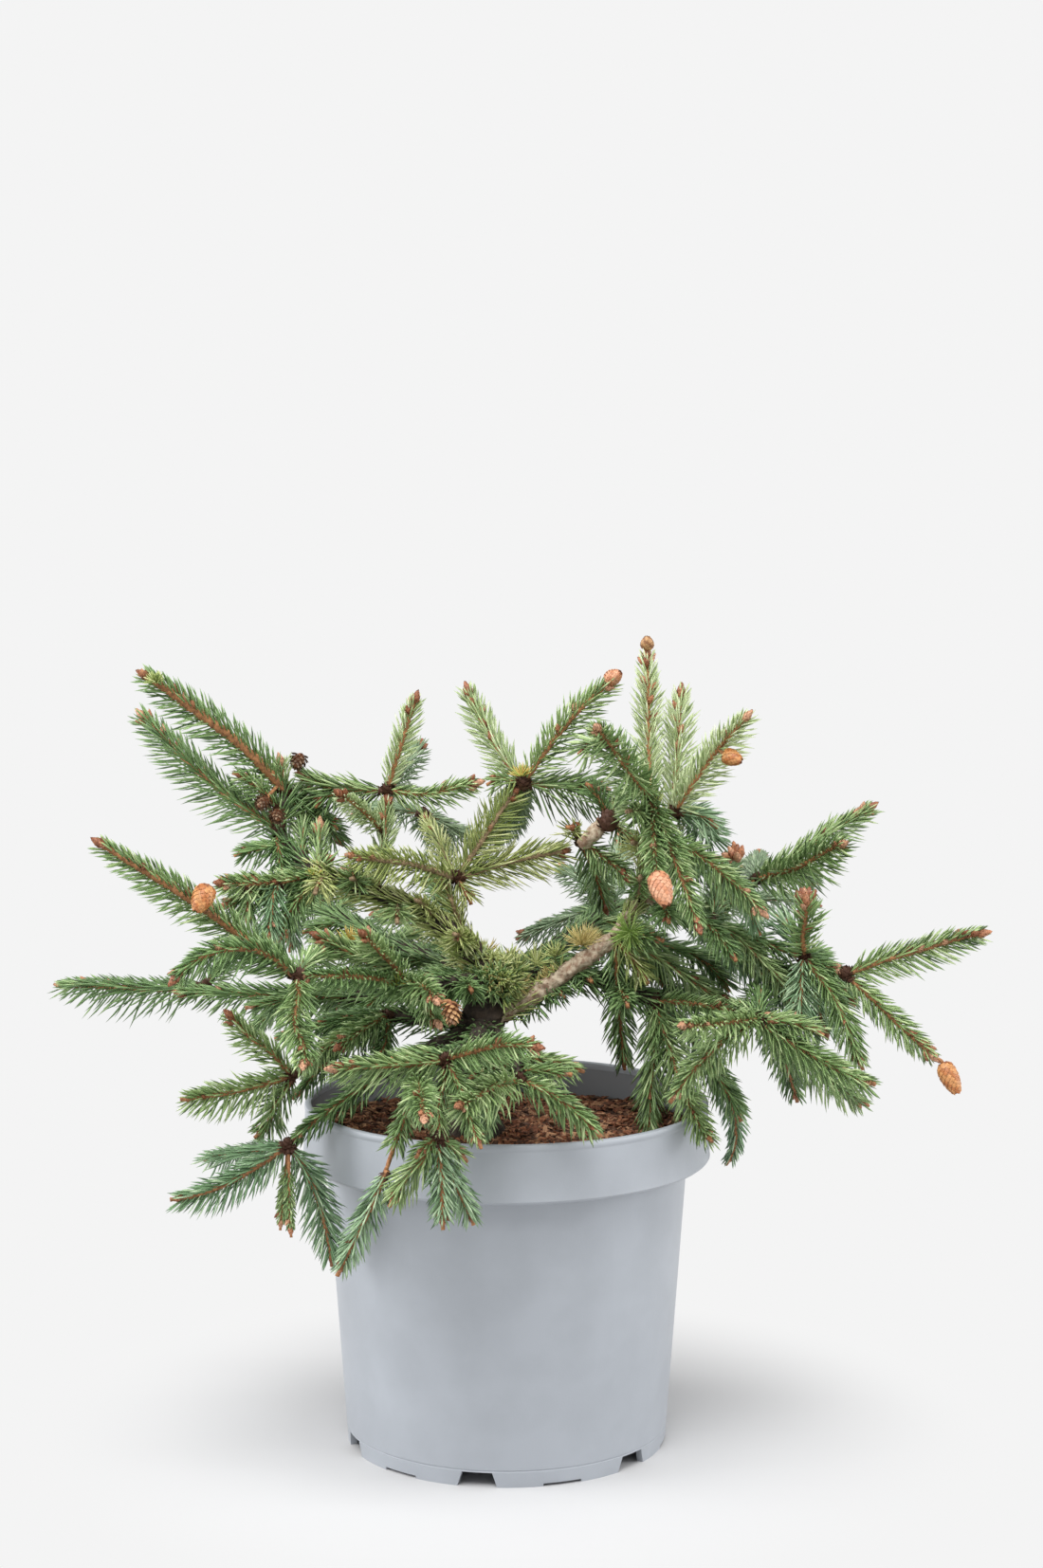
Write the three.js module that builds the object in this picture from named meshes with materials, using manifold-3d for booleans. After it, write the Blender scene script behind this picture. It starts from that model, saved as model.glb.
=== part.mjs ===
// A young weeping Norway spruce in its round nursery pot: pot, growing medium, trunk, boughs, foliage.
// Millimetres, +Z up. The origin is on the pot's axis, at the level that its foot ring stands on.
import * as THREE from 'three';
import { mergeVertices } from 'three/addons/utils/BufferGeometryUtils.js';
import Module from 'manifold-3d';

const wasm = await Module();
wasm.setup();

// ---------------------------------------------------------------- driving dimensions
const GAP = 0.3; // left between any two neighbours
const POT = {
  height: 210,
  footRadius: 97.5, // outside, at the floor
  neckRadius: 110, // outside, just under the collar
  collarRadius: 123.9, // outside, at the collar's lower edge
  rimRadius: 122.2, // outside, at the top
  collarHeight: 35,
  bevel: 2, // where the collar steps in to the body
  wall: 2.4,
  lip: 3.6, // the rolled rim's height and width
  roll: 0.6, // how far the rim's rounded edge stands out
  ringHeight: 10, // of the foot ring, under the base plate
  ringWall: 4,
  base: 3,
  segments: 30,
};
const NOTCH = { count: 6, first: -10, height: 9, top: 10.5, bottom: 14 }; // drain notches, widths in degrees
const SLOT = { first: 20, height: 1.8, width: 14 }; // shallow reliefs half-way between the notches
const SOIL = {
  level: 188,
  bump: 3.5,
  calm: 46, // radius of the level ground round the trunk's foot
  rings: [0.72], // the uneven rings inside the brim, as shares of its radius
  segments: 15,
};
const TRUNK = {
  profile: [
    [19, 0], // root flare: radius, share of the length
    [13.5, 0.14],
    [11.8, 0.35],
    [11.8, 0.55],
    [13.5, 0.78],
    [12.4, 0.93],
    [6.8, 1],
  ],
  crown: 4, // domed top over the last ring
  roots: 5, // lobes of the flare
  lobe: 0.12,
  lobeEnds: 0.25, // share of the length by which the lobes die out
  uneven: 0.05,
  sides: 10,
};
const LIMB = { sides: 5, stepsPerFork: 1, uneven: 0.08 };
const SHOOT = {
  side: 12.5, // how far its needles reach to the sides, above and below
  above: 8,
  below: 12.5,
  root: 10, // how far behind its fork it starts as a point
  profile: [
    [1, 0.32], // share of the girth, share of the length
    [0.85, 0.82],
  ],
  sides: 5,
  uneven: 0.12,
};
const COLOUR = { pot: 0xa3a9b2, soil: 0x5b3a28, bark: 0x6b5a48, needle: 0x4f7350 };

// ---------------------------------------------------------------- the plant's own measurements
// Where limbs pass, fork or end and where whorls of shoots spring: [x, y, z].
const FORKS = {
  foot: [-20, 0, SOIL.level],
  waist: [-18, 0, 222],
  neck: [-15, -2, 256],
  head: [-8, 0, 282],
  right_elbow: [19, -5, 277],
  right_shoulder: [65, -10, 311],
  right_bend: [80, -10, 337],
  right_crown: [84, -15, 368],
  top_right: [86, -20, 396],
  top_side: [100, -10, 386],
  right_arm: [123, -20, 321],
  right_fork: [177, -30, 303],
  right_far: [201, -43, 294],
  right_high: [154, 42, 338],
  right_low_start: [43, 12, 284],
  right_low: [90, -10, 272],
  right_low_far: [149, -60, 270],
  back_right_start: [32, 48, 296],
  back_right: [66, 100, 312],
  back_right_far: [122, 128, 300],
  back_start: [-22, 70, 284],
  back: [-34, 138, 286],
  back_left_start: [-62, 52, 292],
  back_left: [-118, 104, 310],
  back_left_low: [-92, 84, 262],
  mid_start: [-26, 0, 312],
  mid_fork: [-30, 0, 345],
  mid_arm: [45, 5, 366],
  mid_knot: [61, 0, 382],
  top_mid: [10, 0, 403],
  back_knot: [-52, 60, 377],
  left_start: [-44, -6, 322],
  left_stem: [-77, -18, 338],
  left_fork: [-111, -40, 354],
  left_step: [-136, -20, 377],
  left_high: [-132, -10, 399],
  stem_side: [-74, -8, 375],
  top_left: [-72, 0, 399],
  left_front_start: [-58, -58, 290],
  left_front: [-118, -120, 307],
  left_far_start: [-98, 12, 270],
  left_far: [-187, 32, 273],
  left_low_start: [-70, -24, 266],
  left_low: [-125, -60, 237],
  left_drop_start: [-72, -58, 238],
  left_drop: [-126, -92, 203],
  front_start: [-18, -75, 258],
  front_knot: [-33, -150, 265],
  front_side: [-49, -152, 254],
  front_drop: [-65, -167, 207],
  front_hang: [-37, -165, 224],
  front_right_start: [2, -60, 252],
  front_right: [8, -118, 247],
};

// Each bough is one tapering limb: the forks it passes, its radius where it leaves and its radius at its end.
const BOUGHS = {
  bough_right: [['neck', 'right_elbow', 'right_shoulder'], 6.4, 4.8],
  bough_mid: [['head', 'mid_start'], 7, 5],
  bough_left: [['head', 'left_start', 'left_stem', 'left_fork'], 6.5, 3.8],
  bough_left_front: [['head', 'left_front_start'], 6, 4.4],
  bough_left_far: [['head', 'left_far_start'], 6, 4.6],
  bough_back_right: [['head', 'back_right_start', 'back_right'], 6, 3.6],
  bough_back_left: [['head', 'back_left_start', 'back_left'], 6, 3.6],
  bough_back: [['head', 'back_start', 'back'], 5.5, 3.4],
  bough_front: [['neck', 'front_start', 'front_knot'], 6, 3.4],
  bough_right_low: [['head', 'right_low_start', 'right_low'], 6, 4],
  bough_left_low: [['neck', 'left_low_start'], 5.5, 4],
  bough_left_drop: [['neck', 'left_drop_start'], 5.5, 4.2],
  bough_front_right: [['neck', 'front_right_start', 'front_right'], 5, 3],
  bough_right_top: [['right_shoulder', 'right_bend', 'right_crown', 'top_right'], 3.4, 2.8],
  bough_right_arm: [['right_bend', 'right_arm'], 3.2, 2.8],
  bough_left_top: [['left_fork', 'left_step', 'left_high'], 3.6, 3.2],
};

// Each mass is a set of needled shoots. A row is a shoot: the fork it springs from, its heading (degrees
// from +X towards +Y), its rise above level (degrees), its length, how far its middle stands above the
// straight line from foot to tip, its girth as a share of SHOOT's, and how far its middle bulges to +X.
const FOLIAGE = {
  foliage_right_far_high: [['right_far', 348, 19, 87, 2, 1.05]],
  foliage_right_far_low: [['right_far', 328, -37, 74, 0, 0.95]],
  foliage_left_far: [
    ['left_far_start', 169, 0, 109, 0, 1.15],
    ['left_far', 164, -2, 99, -1, 1.25],
    ['left_far', 69, 13, 64, 3, 0.9],
  ],
  foliage_left_top: [
    ['left_high', 203, 40, 116, 6, 1.2],
    ['left_high', 43, -39, 56, 2, 1.2],
  ],
  foliage_left_upper: [['left_step', 161, 37, 114, -4, 1.35]],
  foliage_left_front_long: [
    ['left_front_start', 226, 11, 88, 3, 0.9],
    ['left_front', 196, 36, 139, 2, 1.05],
    ['left_front', 214, 3, 79, 18, 1.1],
  ],
  foliage_left_front: [['left_front', 277, -28, 80, -3, 1.35]],
  foliage_left_arm: [
    ['left_fork', 219, 1, 71, -3, 1.15],
    ['left_fork', 238, -40, 54, 4],
    ['left_fork', 89, 62, 34, 0, 0.8],
    ['left_fork', 209, -14, 64, 2],
  ],
  foliage_top_left: [
    ['top_left', 331, 70, 63, 0, 0.9],
    ['top_left', 341, 7, 61, -3, 0.85],
    ['top_left', 74, 19, 72, -3, 1.1],
  ],
  foliage_left_stem: [
    ['left_stem', 74, 72, 62, 0, 0.9],
    ['stem_side', 236, 32, 54, 2, 0.7],
    ['top_left', 185, 11, 54, -4, 1.35],
  ],
  foliage_top_mid: [
    ['top_mid', 345, 49, 86, 5, 1.15],
    ['top_mid', 22, -6, 56, 0, 1.5],
    ['top_mid', 143, 53, 72, -6, 1.1],
  ],
  foliage_mid: [
    ['mid_start', 180, 70, 38, 0, 0.9],
    ['mid_fork', 0, 56, 68, 2, 1.2],
    ['mid_fork', 218, 15, 84, 2, 1.2],
  ],
  foliage_mid_arm: [
    ['mid_fork', 4, 14, 71, 2, 1.3],
    ['mid_arm', 319, -27, 43, 4],
    ['mid_arm', 64, -51, 61, 5],
    ['mid_arm', 340, 42, 24, 0, 0.5],
    ['mid_knot', 70, 14, 72, 4, 0.9],
  ],
  foliage_back_knot: [
    ['mid_fork', 110, 27, 72, 0, 0.9],
    ['back_knot', 43, -23, 56, 0],
    ['back_knot', 79, -28, 69, 5],
    ['back_knot', 135, -5, 66, 4],
  ],
  foliage_top_mid_back: [
    ['top_mid', 98, -26, 102, 1, 0.9],
    ['top_mid', 103, -28, 100, 2, 1.1],
  ],
  foliage_right_top: [
    ['top_right', 98, 80, 90, 0],
    ['top_right', 249, 28, 111, 0, 1.5],
  ],
  foliage_right_side: [
    ['top_side', 77, 71, 79, 0, 1.2],
    ['top_side', 328, 51, 81, 3, 1.2],
    ['top_side', 61, -20, 67, 4, 1.45],
  ],
  foliage_right_hang: [
    ['top_right', 271, -32, 79, 1, 1.05],
    ['top_right', 287, -38, 108, 2, 1.2],
  ],
  foliage_right_crown: [['right_crown', 322, -22, 92, 12, 1.1]],
  foliage_right_arm: [
    ['right_arm', 77, 21, 88, 6],
    ['right_arm', 10, -47, 82, 3, 1.3],
  ],
  foliage_right_high: [
    ['right_high', 6, 32, 88, 0, 1.15],
    ['right_high', 308, 22, 85, -1, 1.5],
  ],
  foliage_right_high_back: [
    ['right_high', 84, 4, 89, -1],
    ['right_high', 50, -7, 69, 9],
  ],
  foliage_right_fork: [
    ['right_fork', 332, -18, 27, 0, 0.7],
    ['right_fork', 267, 63, 44, -5, 1.1],
    ['right_fork', 304, -47, 81, 8, 1.2],
    ['right_fork', 58, -30, 81, 8],
    ['right_fork', 66, -12, 39, 3],
    ['right_fork', 33, -70, 54, 2, 1.5],
  ],
  foliage_right_low_far: [
    ['right_low_far', 321, -19, 84, -4, 1.4],
    ['right_low_far', 30, -37, 100, -4, 1.1],
    ['right_low_far', 65, -43, 91, 10],
  ],
  foliage_right_low_front: [
    ['right_low', 320, -1, 88, 3, 0.9],
    ['right_low_far', 234, 7, 87, 0, 1.2],
    ['right_low_far', 219, -29, 81, 8, 1.15],
  ],
  foliage_right_low: [
    ['right_low', 44, -60, 129, -7, 0.9, 23],
    ['right_low', 292, -41, 105, -12, 1.35],
    ['right_low', 259, -72, 83, 6, 1.35],
  ],
  foliage_right_low_back: [['right_low', 62, -18, 96, 12]],
  foliage_right_shoulder: [
    ['right_shoulder', 37, -15, 115, 0, 1.1],
    ['right_shoulder', 62, -30, 84, 8],
    ['right_shoulder', 0, -30, 82, 2, 1.1],
    ['right_shoulder', 70, -76, 88, -6, 1.1],
  ],
  foliage_back_right: [
    ['back_right', 140, -20, 82, 3],
    ['back_right', 114, 12, 79, 4],
    ['back_right', 82, 24, 92, 5],
    ['back_right', 96, -34, 84, 8],
  ],
  foliage_back_right_far: [
    ['back_right', 27, -10, 62, 0, 0.9],
    ['back_right_far', 58, 18, 96, 6],
    ['back_right_far', 24, 2, 92, 8],
    ['back_right_far', 76, -30, 84, 10],
  ],
  foliage_back: [
    ['back', 104, 22, 92, 5],
    ['back', 134, 4, 84, 6],
    ['back', 92, -38, 88, 8],
  ],
  foliage_back_left: [
    ['back_left', 117, 28, 86, 5],
    ['back_left', 150, 8, 80, 8],
    ['back_left', 96, 8, 92, 8],
    ['back_left', 140, -28, 80, 10],
  ],
  foliage_back_left_low: [
    ['back_left_start', 128, -34, 64, 0, 0.8],
    ['back_left_low', 112, -30, 92, 12],
    ['back_left_low', 158, -24, 94, 12],
    ['back_left_low', 82, -47, 71, 8],
  ],
  foliage_left_low: [
    ['left_low_start', 213, -24, 72, 3, 0.9],
    ['left_low_start', 233, -14, 51, 2, 0.9],
    ['left_low_start', 258, -51, 35, 0, 0.9],
    ['left_low', 210, -5, 72, -2, 1.2],
    ['left_low', 215, -52, 43, -3, 1.1],
    ['left_low', 208, 45, 59, 0, 0.9],
  ],
  foliage_left_drop_side: [
    ['left_drop_start', 212, -29, 72, 3, 0.9],
    ['left_drop', 146, -15, 68, 0],
    ['left_drop', 195, -22, 74, -6, 1.1],
  ],
  foliage_left_drop: [
    ['left_drop', 207, -84, 50, -1, 0.42],
    ['left_drop', 279, -70, 53, -1, 0.46],
    ['left_drop', 35, -69, 82, 6, 1.2, 4],
  ],
  foliage_front_high: [
    ['front_knot', 209, 2, 72, -1, 1.2],
    ['front_knot', 323, 13, 68, 4],
  ],
  foliage_front_right: [
    ['front_right', 241, -1, 71, 1, 1.5],
    ['front_right', 325, -25, 61, 5, 1.05],
  ],
  foliage_front_drop: [
    ['front_side', 275, -5, 73, 4],
    ['front_side', 223, -64, 52, 0, 0.8],
    ['front_drop', 176, -65, 67, 0, 0.9],
  ],
  foliage_front_hang: [
    ['front_hang', 202, -51, 46, 2, 1.1],
    ['front_hang', 281, -71, 50, 2, 0.9],
    ['front_hang', 15, -68, 54, 0],
  ],
  foliage_inner_left: [
    ['left_front_start', 290, 0, 58, 5],
    ['left_front_start', 237, 40, 60, 3],
    ['left_front_start', 297, -20, 48, 3],
  ],
};

// ---------------------------------------------------------------- tools for making solids
const radians = THREE.MathUtils.degToRad;
const point = (name) => new THREE.Vector3(...FORKS[name]);

// A repeatable source of numbers from -1 to 1.
function spread(seed) {
  let state = seed * 7919 + 17;
  return () => {
    state = (state * 16807) % 2147483647;
    return (state / 2147483647) * 2 - 1;
  };
}

function welded(geometry) {
  geometry.deleteAttribute('normal');
  geometry.deleteAttribute('uv');
  return mergeVertices(geometry, 1e-3);
}

function solidOf(geometry) {
  const mesh = welded(geometry);
  return new wasm.Manifold(
    new wasm.Mesh({
      numProp: 3,
      vertProperties: mesh.attributes.position.array,
      triVerts: new Uint32Array(mesh.index.array),
    }),
  );
}

function geometryOf(solid) {
  const mesh = solid.getMesh();
  const geometry = new THREE.BufferGeometry();
  geometry.setAttribute('position', new THREE.BufferAttribute(mesh.vertProperties, 3));
  geometry.setIndex(new THREE.BufferAttribute(mesh.triVerts, 1));
  const flat = geometry.toNonIndexed();
  flat.computeVertexNormals();
  return flat;
}

// A turned form, laid along a curve: `turned` goes up its own Y axis from 0 to `length`, and `shape` may move
// each of its points sideways (s) and upwards (u) before it is laid.
function laidAlong(turned, curve, length, shape) {
  const geometry = welded(turned);
  const place = geometry.attributes.position;
  const start = curve.getPoint(0);
  const end = curve.getPoint(1);
  const side = new THREE.Vector3(start.y - end.y, end.x - start.x, 0);
  if (side.length() < 1e-3) side.set(0, 1, 0);
  side.normalize();
  for (let i = 0; i < place.count; i += 1) {
    const along = place.getY(i) / length;
    const t = THREE.MathUtils.clamp(along, 0, 1);
    const ahead = curve.getTangent(t);
    const up = new THREE.Vector3().crossVectors(ahead, side).normalize();
    const across = new THREE.Vector3().crossVectors(up, ahead);
    const [s, u] = shape(place.getZ(i), place.getX(i), t);
    const at = curve.getPoint(t).addScaledVector(ahead, (along - t) * length);
    at.addScaledVector(across, s).addScaledVector(up, u);
    place.setXYZ(i, at.x, at.y, at.z);
  }
  return solidOf(geometry);
}

const biggest = (solid) => solid.decompose().sort((a, b) => b.volume() - a.volume())[0];

// ---------------------------------------------------------------- pot and growing medium
function potWallRadius(z) {
  const collarFoot = POT.height - POT.collarHeight;
  const { mapLinear } = THREE.MathUtils;
  if (z > collarFoot) return mapLinear(z, collarFoot, POT.height, POT.collarRadius, POT.rimRadius);
  return mapLinear(z, 0, collarFoot, POT.footRadius, POT.neckRadius);
}

// A wedge of the foot ring, from the floor up: `wide` degrees at the floor and `narrow` degrees at `height`.
function ringCut(heading, wide, narrow, height) {
  const reach = POT.footRadius;
  const half = (degrees) => reach * Math.tan(radians(degrees / 2));
  const outline = new THREE.Shape();
  outline.moveTo(-half(wide), -1);
  outline.lineTo(half(wide), -1);
  outline.lineTo(half(narrow), height);
  outline.lineTo(-half(narrow), height);
  outline.closePath();
  const cut = new THREE.ExtrudeGeometry(outline, { depth: 3 * POT.ringWall, bevelEnabled: false });
  cut.translate(0, 0, reach - 2 * POT.ringWall);
  cut.rotateX(Math.PI / 2);
  cut.rotateZ(radians(heading));
  return solidOf(cut);
}

function pot() {
  const collarFoot = POT.height - POT.collarHeight;
  const lipFoot = POT.height - POT.lip;
  const floor = POT.ringHeight + POT.base;
  const inside = (z) => potWallRadius(z) - POT.wall;
  const outline = [
    [0, POT.ringHeight],
    [POT.footRadius - POT.ringWall, POT.ringHeight],
    [POT.footRadius - POT.ringWall, 0],
    [POT.footRadius, 0],
    [POT.neckRadius, collarFoot],
    [POT.collarRadius - POT.bevel, collarFoot],
    [POT.collarRadius, collarFoot + POT.bevel],
    [potWallRadius(lipFoot), lipFoot],
    [POT.rimRadius + POT.roll, POT.height - POT.lip / 2],
    [POT.rimRadius - POT.roll, POT.height],
    [POT.rimRadius - POT.lip, POT.height],
    [inside(lipFoot), lipFoot],
    [inside(collarFoot + 2 * POT.bevel), collarFoot + 2 * POT.bevel],
    [POT.neckRadius - POT.wall, collarFoot - POT.bevel],
    [inside(floor), floor],
    [0, floor],
  ];
  const turned = new THREE.LatheGeometry(outline.map(([r, z]) => new THREE.Vector2(r, z)), POT.segments);
  turned.rotateX(Math.PI / 2);
  let body = solidOf(turned);
  for (let n = 0; n < NOTCH.count; n += 1) {
    const turn = (360 / NOTCH.count) * n;
    body = body.subtract(ringCut(NOTCH.first + turn, NOTCH.bottom, NOTCH.top, NOTCH.height));
    body = body.subtract(ringCut(SLOT.first + turn, SLOT.width, SLOT.width, SLOT.height));
  }
  return body;
}

// The room of the collar and its lip, `grow` wider all round, kept clear of the shoots that hang over them.
function collarRoom(grow) {
  const inner = POT.rimRadius - POT.lip - grow;
  const outer = POT.collarRadius + grow;
  const low = POT.height - POT.collarHeight - grow;
  const high = POT.height + grow;
  const outline = [[inner, low], [outer, low], [outer, high], [inner, high], [inner, low]];
  const turned = new THREE.LatheGeometry(outline.map(([r, z]) => new THREE.Vector2(r, z)), POT.segments);
  turned.rotateX(Math.PI / 2);
  return solidOf(turned);
}

// Bark chips and peat, filling the pot to SOIL.level with an uneven top.
function soil() {
  const inside = (z) => potWallRadius(z) - POT.wall - 2 * GAP;
  const floor = POT.ringHeight + POT.base + GAP;
  const ledge = POT.height - POT.collarHeight - POT.bevel - GAP;
  const brim = inside(SOIL.level);
  const outline = [
    [0, floor],
    [inside(floor), floor],
    [inside(ledge), ledge],
    [inside(ledge), ledge + POT.bevel],
    [brim, SOIL.level - SOIL.bump],
    [brim, SOIL.level],
    ...SOIL.rings.map((share) => [share * brim, SOIL.level]),
    [SOIL.calm, SOIL.level - GAP],
    [0, SOIL.level - GAP],
  ];
  const turned = new THREE.LatheGeometry(outline.map(([r, z]) => new THREE.Vector2(r, z)), SOIL.segments);
  turned.rotateX(Math.PI / 2);
  const bumpy = welded(turned);
  const place = bumpy.attributes.position;
  const random = spread(5);
  for (let i = 0; i < place.count; i += 1) {
    if (place.getZ(i) > SOIL.level - GAP / 2) place.setZ(i, SOIL.level + SOIL.bump * random());
  }
  return solidOf(bumpy);
}

// ---------------------------------------------------------------- wood
// A limb through its forks, tapering from one radius to the other; `grow` makes it that much fatter all over.
function limb([names, footRadius, endRadius], seed, grow = 0) {
  const curve = new THREE.CatmullRomCurve3(names.map(point));
  const length = curve.getLength();
  const steps = LIMB.stepsPerFork * (names.length - 1);
  const outline = [new THREE.Vector2(0, -grow)];
  for (let i = 0; i <= steps; i += 1) {
    const radius = THREE.MathUtils.lerp(footRadius, endRadius, i / steps) + grow;
    outline.push(new THREE.Vector2(radius, (length * i) / steps));
  }
  outline.push(new THREE.Vector2(0, length + 1 + grow));
  const random = spread(seed);
  const turned = new THREE.LatheGeometry(outline, LIMB.sides);
  return laidAlong(turned, curve, length, (s, u) => {
    const gnarl = 1 + LIMB.uneven * random();
    return [s * gnarl, u * gnarl];
  });
}

// The trunk, from its flat cut at the soil through the root flare and the waist to the swollen head.
function trunk(grow = 0) {
  const curve = new THREE.CatmullRomCurve3(['foot', 'waist', 'neck', 'head'].map(point));
  const length = curve.getLength();
  const outline = [new THREE.Vector2(0, -grow)];
  TRUNK.profile.forEach(([radius, share]) => {
    outline.push(new THREE.Vector2(radius + grow, share > 0 ? share * length : -grow));
  });
  outline.push(new THREE.Vector2(0, length + TRUNK.crown + grow));
  const random = spread(3);
  const turned = new THREE.LatheGeometry(outline, TRUNK.sides);
  const rough = laidAlong(turned, curve, length, (s, u, t) => {
    const fade = Math.max(0, 1 - t / TRUNK.lobeEnds);
    const lobes = TRUNK.lobe * Math.cos(TRUNK.roots * Math.atan2(u, s)) * fade;
    const swell = 1 + lobes + TRUNK.uneven * random();
    return [s * swell, u * swell];
  });
  return rough.trimByPlane([0, 0, 1], SOIL.level - grow);
}

// ---------------------------------------------------------------- foliage
// One needled shoot: narrow where it leaves the wood, full along its middle, blunt at its bud.
function shoot([fork, heading, rise, length, arch = 0, girth = 1, bow = 0], seed, grow = 0) {
  const foot = point(fork);
  const level = Math.cos(radians(rise)) * length;
  const tip = foot
    .clone()
    .add(new THREE.Vector3(level * Math.cos(radians(heading)), level * Math.sin(radians(heading)), 0));
  tip.z += Math.sin(radians(rise)) * length;
  const middle = foot.clone().lerp(tip, 0.5);
  middle.x += 2 * bow;
  middle.z += 2 * arch;
  const curve = new THREE.QuadraticBezierCurve3(foot, middle, tip);
  const outline = [new THREE.Vector2(0, -SHOOT.root - grow)];
  SHOOT.profile.forEach(([share, along]) => outline.push(new THREE.Vector2(share * girth, along * length)));
  outline.push(new THREE.Vector2(0, length + 1 + grow));
  const random = spread(seed);
  const turned = new THREE.LatheGeometry(outline, SHOOT.sides);
  return laidAlong(turned, curve, length, (s, u) => {
    const ragged = 1 + SHOOT.uneven * random();
    const height = u > 0 ? SHOOT.above : SHOOT.below;
    const radius = Math.hypot(s * SHOOT.side, u * height) * ragged;
    if (radius < 1e-6) return [0, 0];
    const fatter = (radius + grow) / radius;
    return [s * SHOOT.side * ragged * fatter, u * height * ragged * fatter];
  });
}

const union = (solids) => wasm.Manifold.union(solids);
const mass = (rows, seed, grow) => union(rows.map((row, i) => shoot(row, seed + i, grow)));

// ---------------------------------------------------------------- the plant put together
const group = new THREE.Group();
const placed = []; // what stands already, each a little fatter, to cut what comes after

function add(name, body, fatter, colour, roughness) {
  let rest = body;
  const box = body.boundingBox();
  for (const other of placed) {
    const b = other.box;
    const apart = [0, 1, 2].some((k) => b.min[k] > box.max[k] || b.max[k] < box.min[k]);
    if (!apart) rest = rest.subtract(other.solid);
  }
  rest = biggest(rest);
  if (fatter) placed.push({ solid: fatter, box: fatter.boundingBox() });
  const material = new THREE.MeshStandardMaterial({ color: colour, roughness, metalness: 0 });
  const mesh = new THREE.Mesh(geometryOf(rest), material);
  mesh.name = name;
  group.add(mesh);
}

add('soil', soil(), null, COLOUR.soil, 1);
add('pot', pot(), collarRoom(GAP), COLOUR.pot, 0.45);
add('trunk', trunk(), trunk(GAP), COLOUR.bark, 0.9);
Object.entries(BOUGHS).forEach(([name, row], i) => {
  add(name, limb(row, i), limb(row, i, GAP), COLOUR.bark, 0.9);
});
Object.entries(FOLIAGE).forEach(([name, rows], i) => {
  const seed = 100 + 10 * i;
  add(name, mass(rows, seed, 0), mass(rows, seed, GAP), COLOUR.needle, 0.6);
});

export default group;
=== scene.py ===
"""The look of a young weeping Norway spruce in its nursery pot, grown over the frame's CAD solids."""
from collections import namedtuple
from math import pi, radians

import bpy
import numpy as np
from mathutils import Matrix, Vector, noise


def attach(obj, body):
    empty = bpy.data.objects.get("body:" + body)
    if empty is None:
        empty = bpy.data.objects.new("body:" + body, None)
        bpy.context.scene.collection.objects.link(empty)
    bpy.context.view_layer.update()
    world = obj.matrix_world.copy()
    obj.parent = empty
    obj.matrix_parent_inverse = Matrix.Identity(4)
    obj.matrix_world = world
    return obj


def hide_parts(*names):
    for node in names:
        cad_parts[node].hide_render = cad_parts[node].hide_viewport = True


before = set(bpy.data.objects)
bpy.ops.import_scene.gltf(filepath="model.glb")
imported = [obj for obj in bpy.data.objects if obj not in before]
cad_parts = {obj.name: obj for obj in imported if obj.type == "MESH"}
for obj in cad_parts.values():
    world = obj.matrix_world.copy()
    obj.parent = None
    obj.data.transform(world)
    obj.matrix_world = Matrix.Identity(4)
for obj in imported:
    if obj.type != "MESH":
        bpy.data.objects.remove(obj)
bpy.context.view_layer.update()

MM = 0.001  # the plant's measurements are millimetres, as in the CAD; those of camera and lights are metres
SEED = 41
SOIL_SEED, BOUGH_SEED, DETAIL_SEED, SPRIG_SEED = 3, 7, 11, 13
GOLDEN = radians(137.508)
Z = np.array([0.0, 0.0, 1.0])
SPLINE_STEPS = 12

# ---- the plant's measurements, as in the CAD
POT_WALL = [(0, 97.5), (175, 110), (175, 123.9), (210, 122.2)]  # height, outside radius
POT_FLOOR = 10
POT_THICK = 2.4
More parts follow.
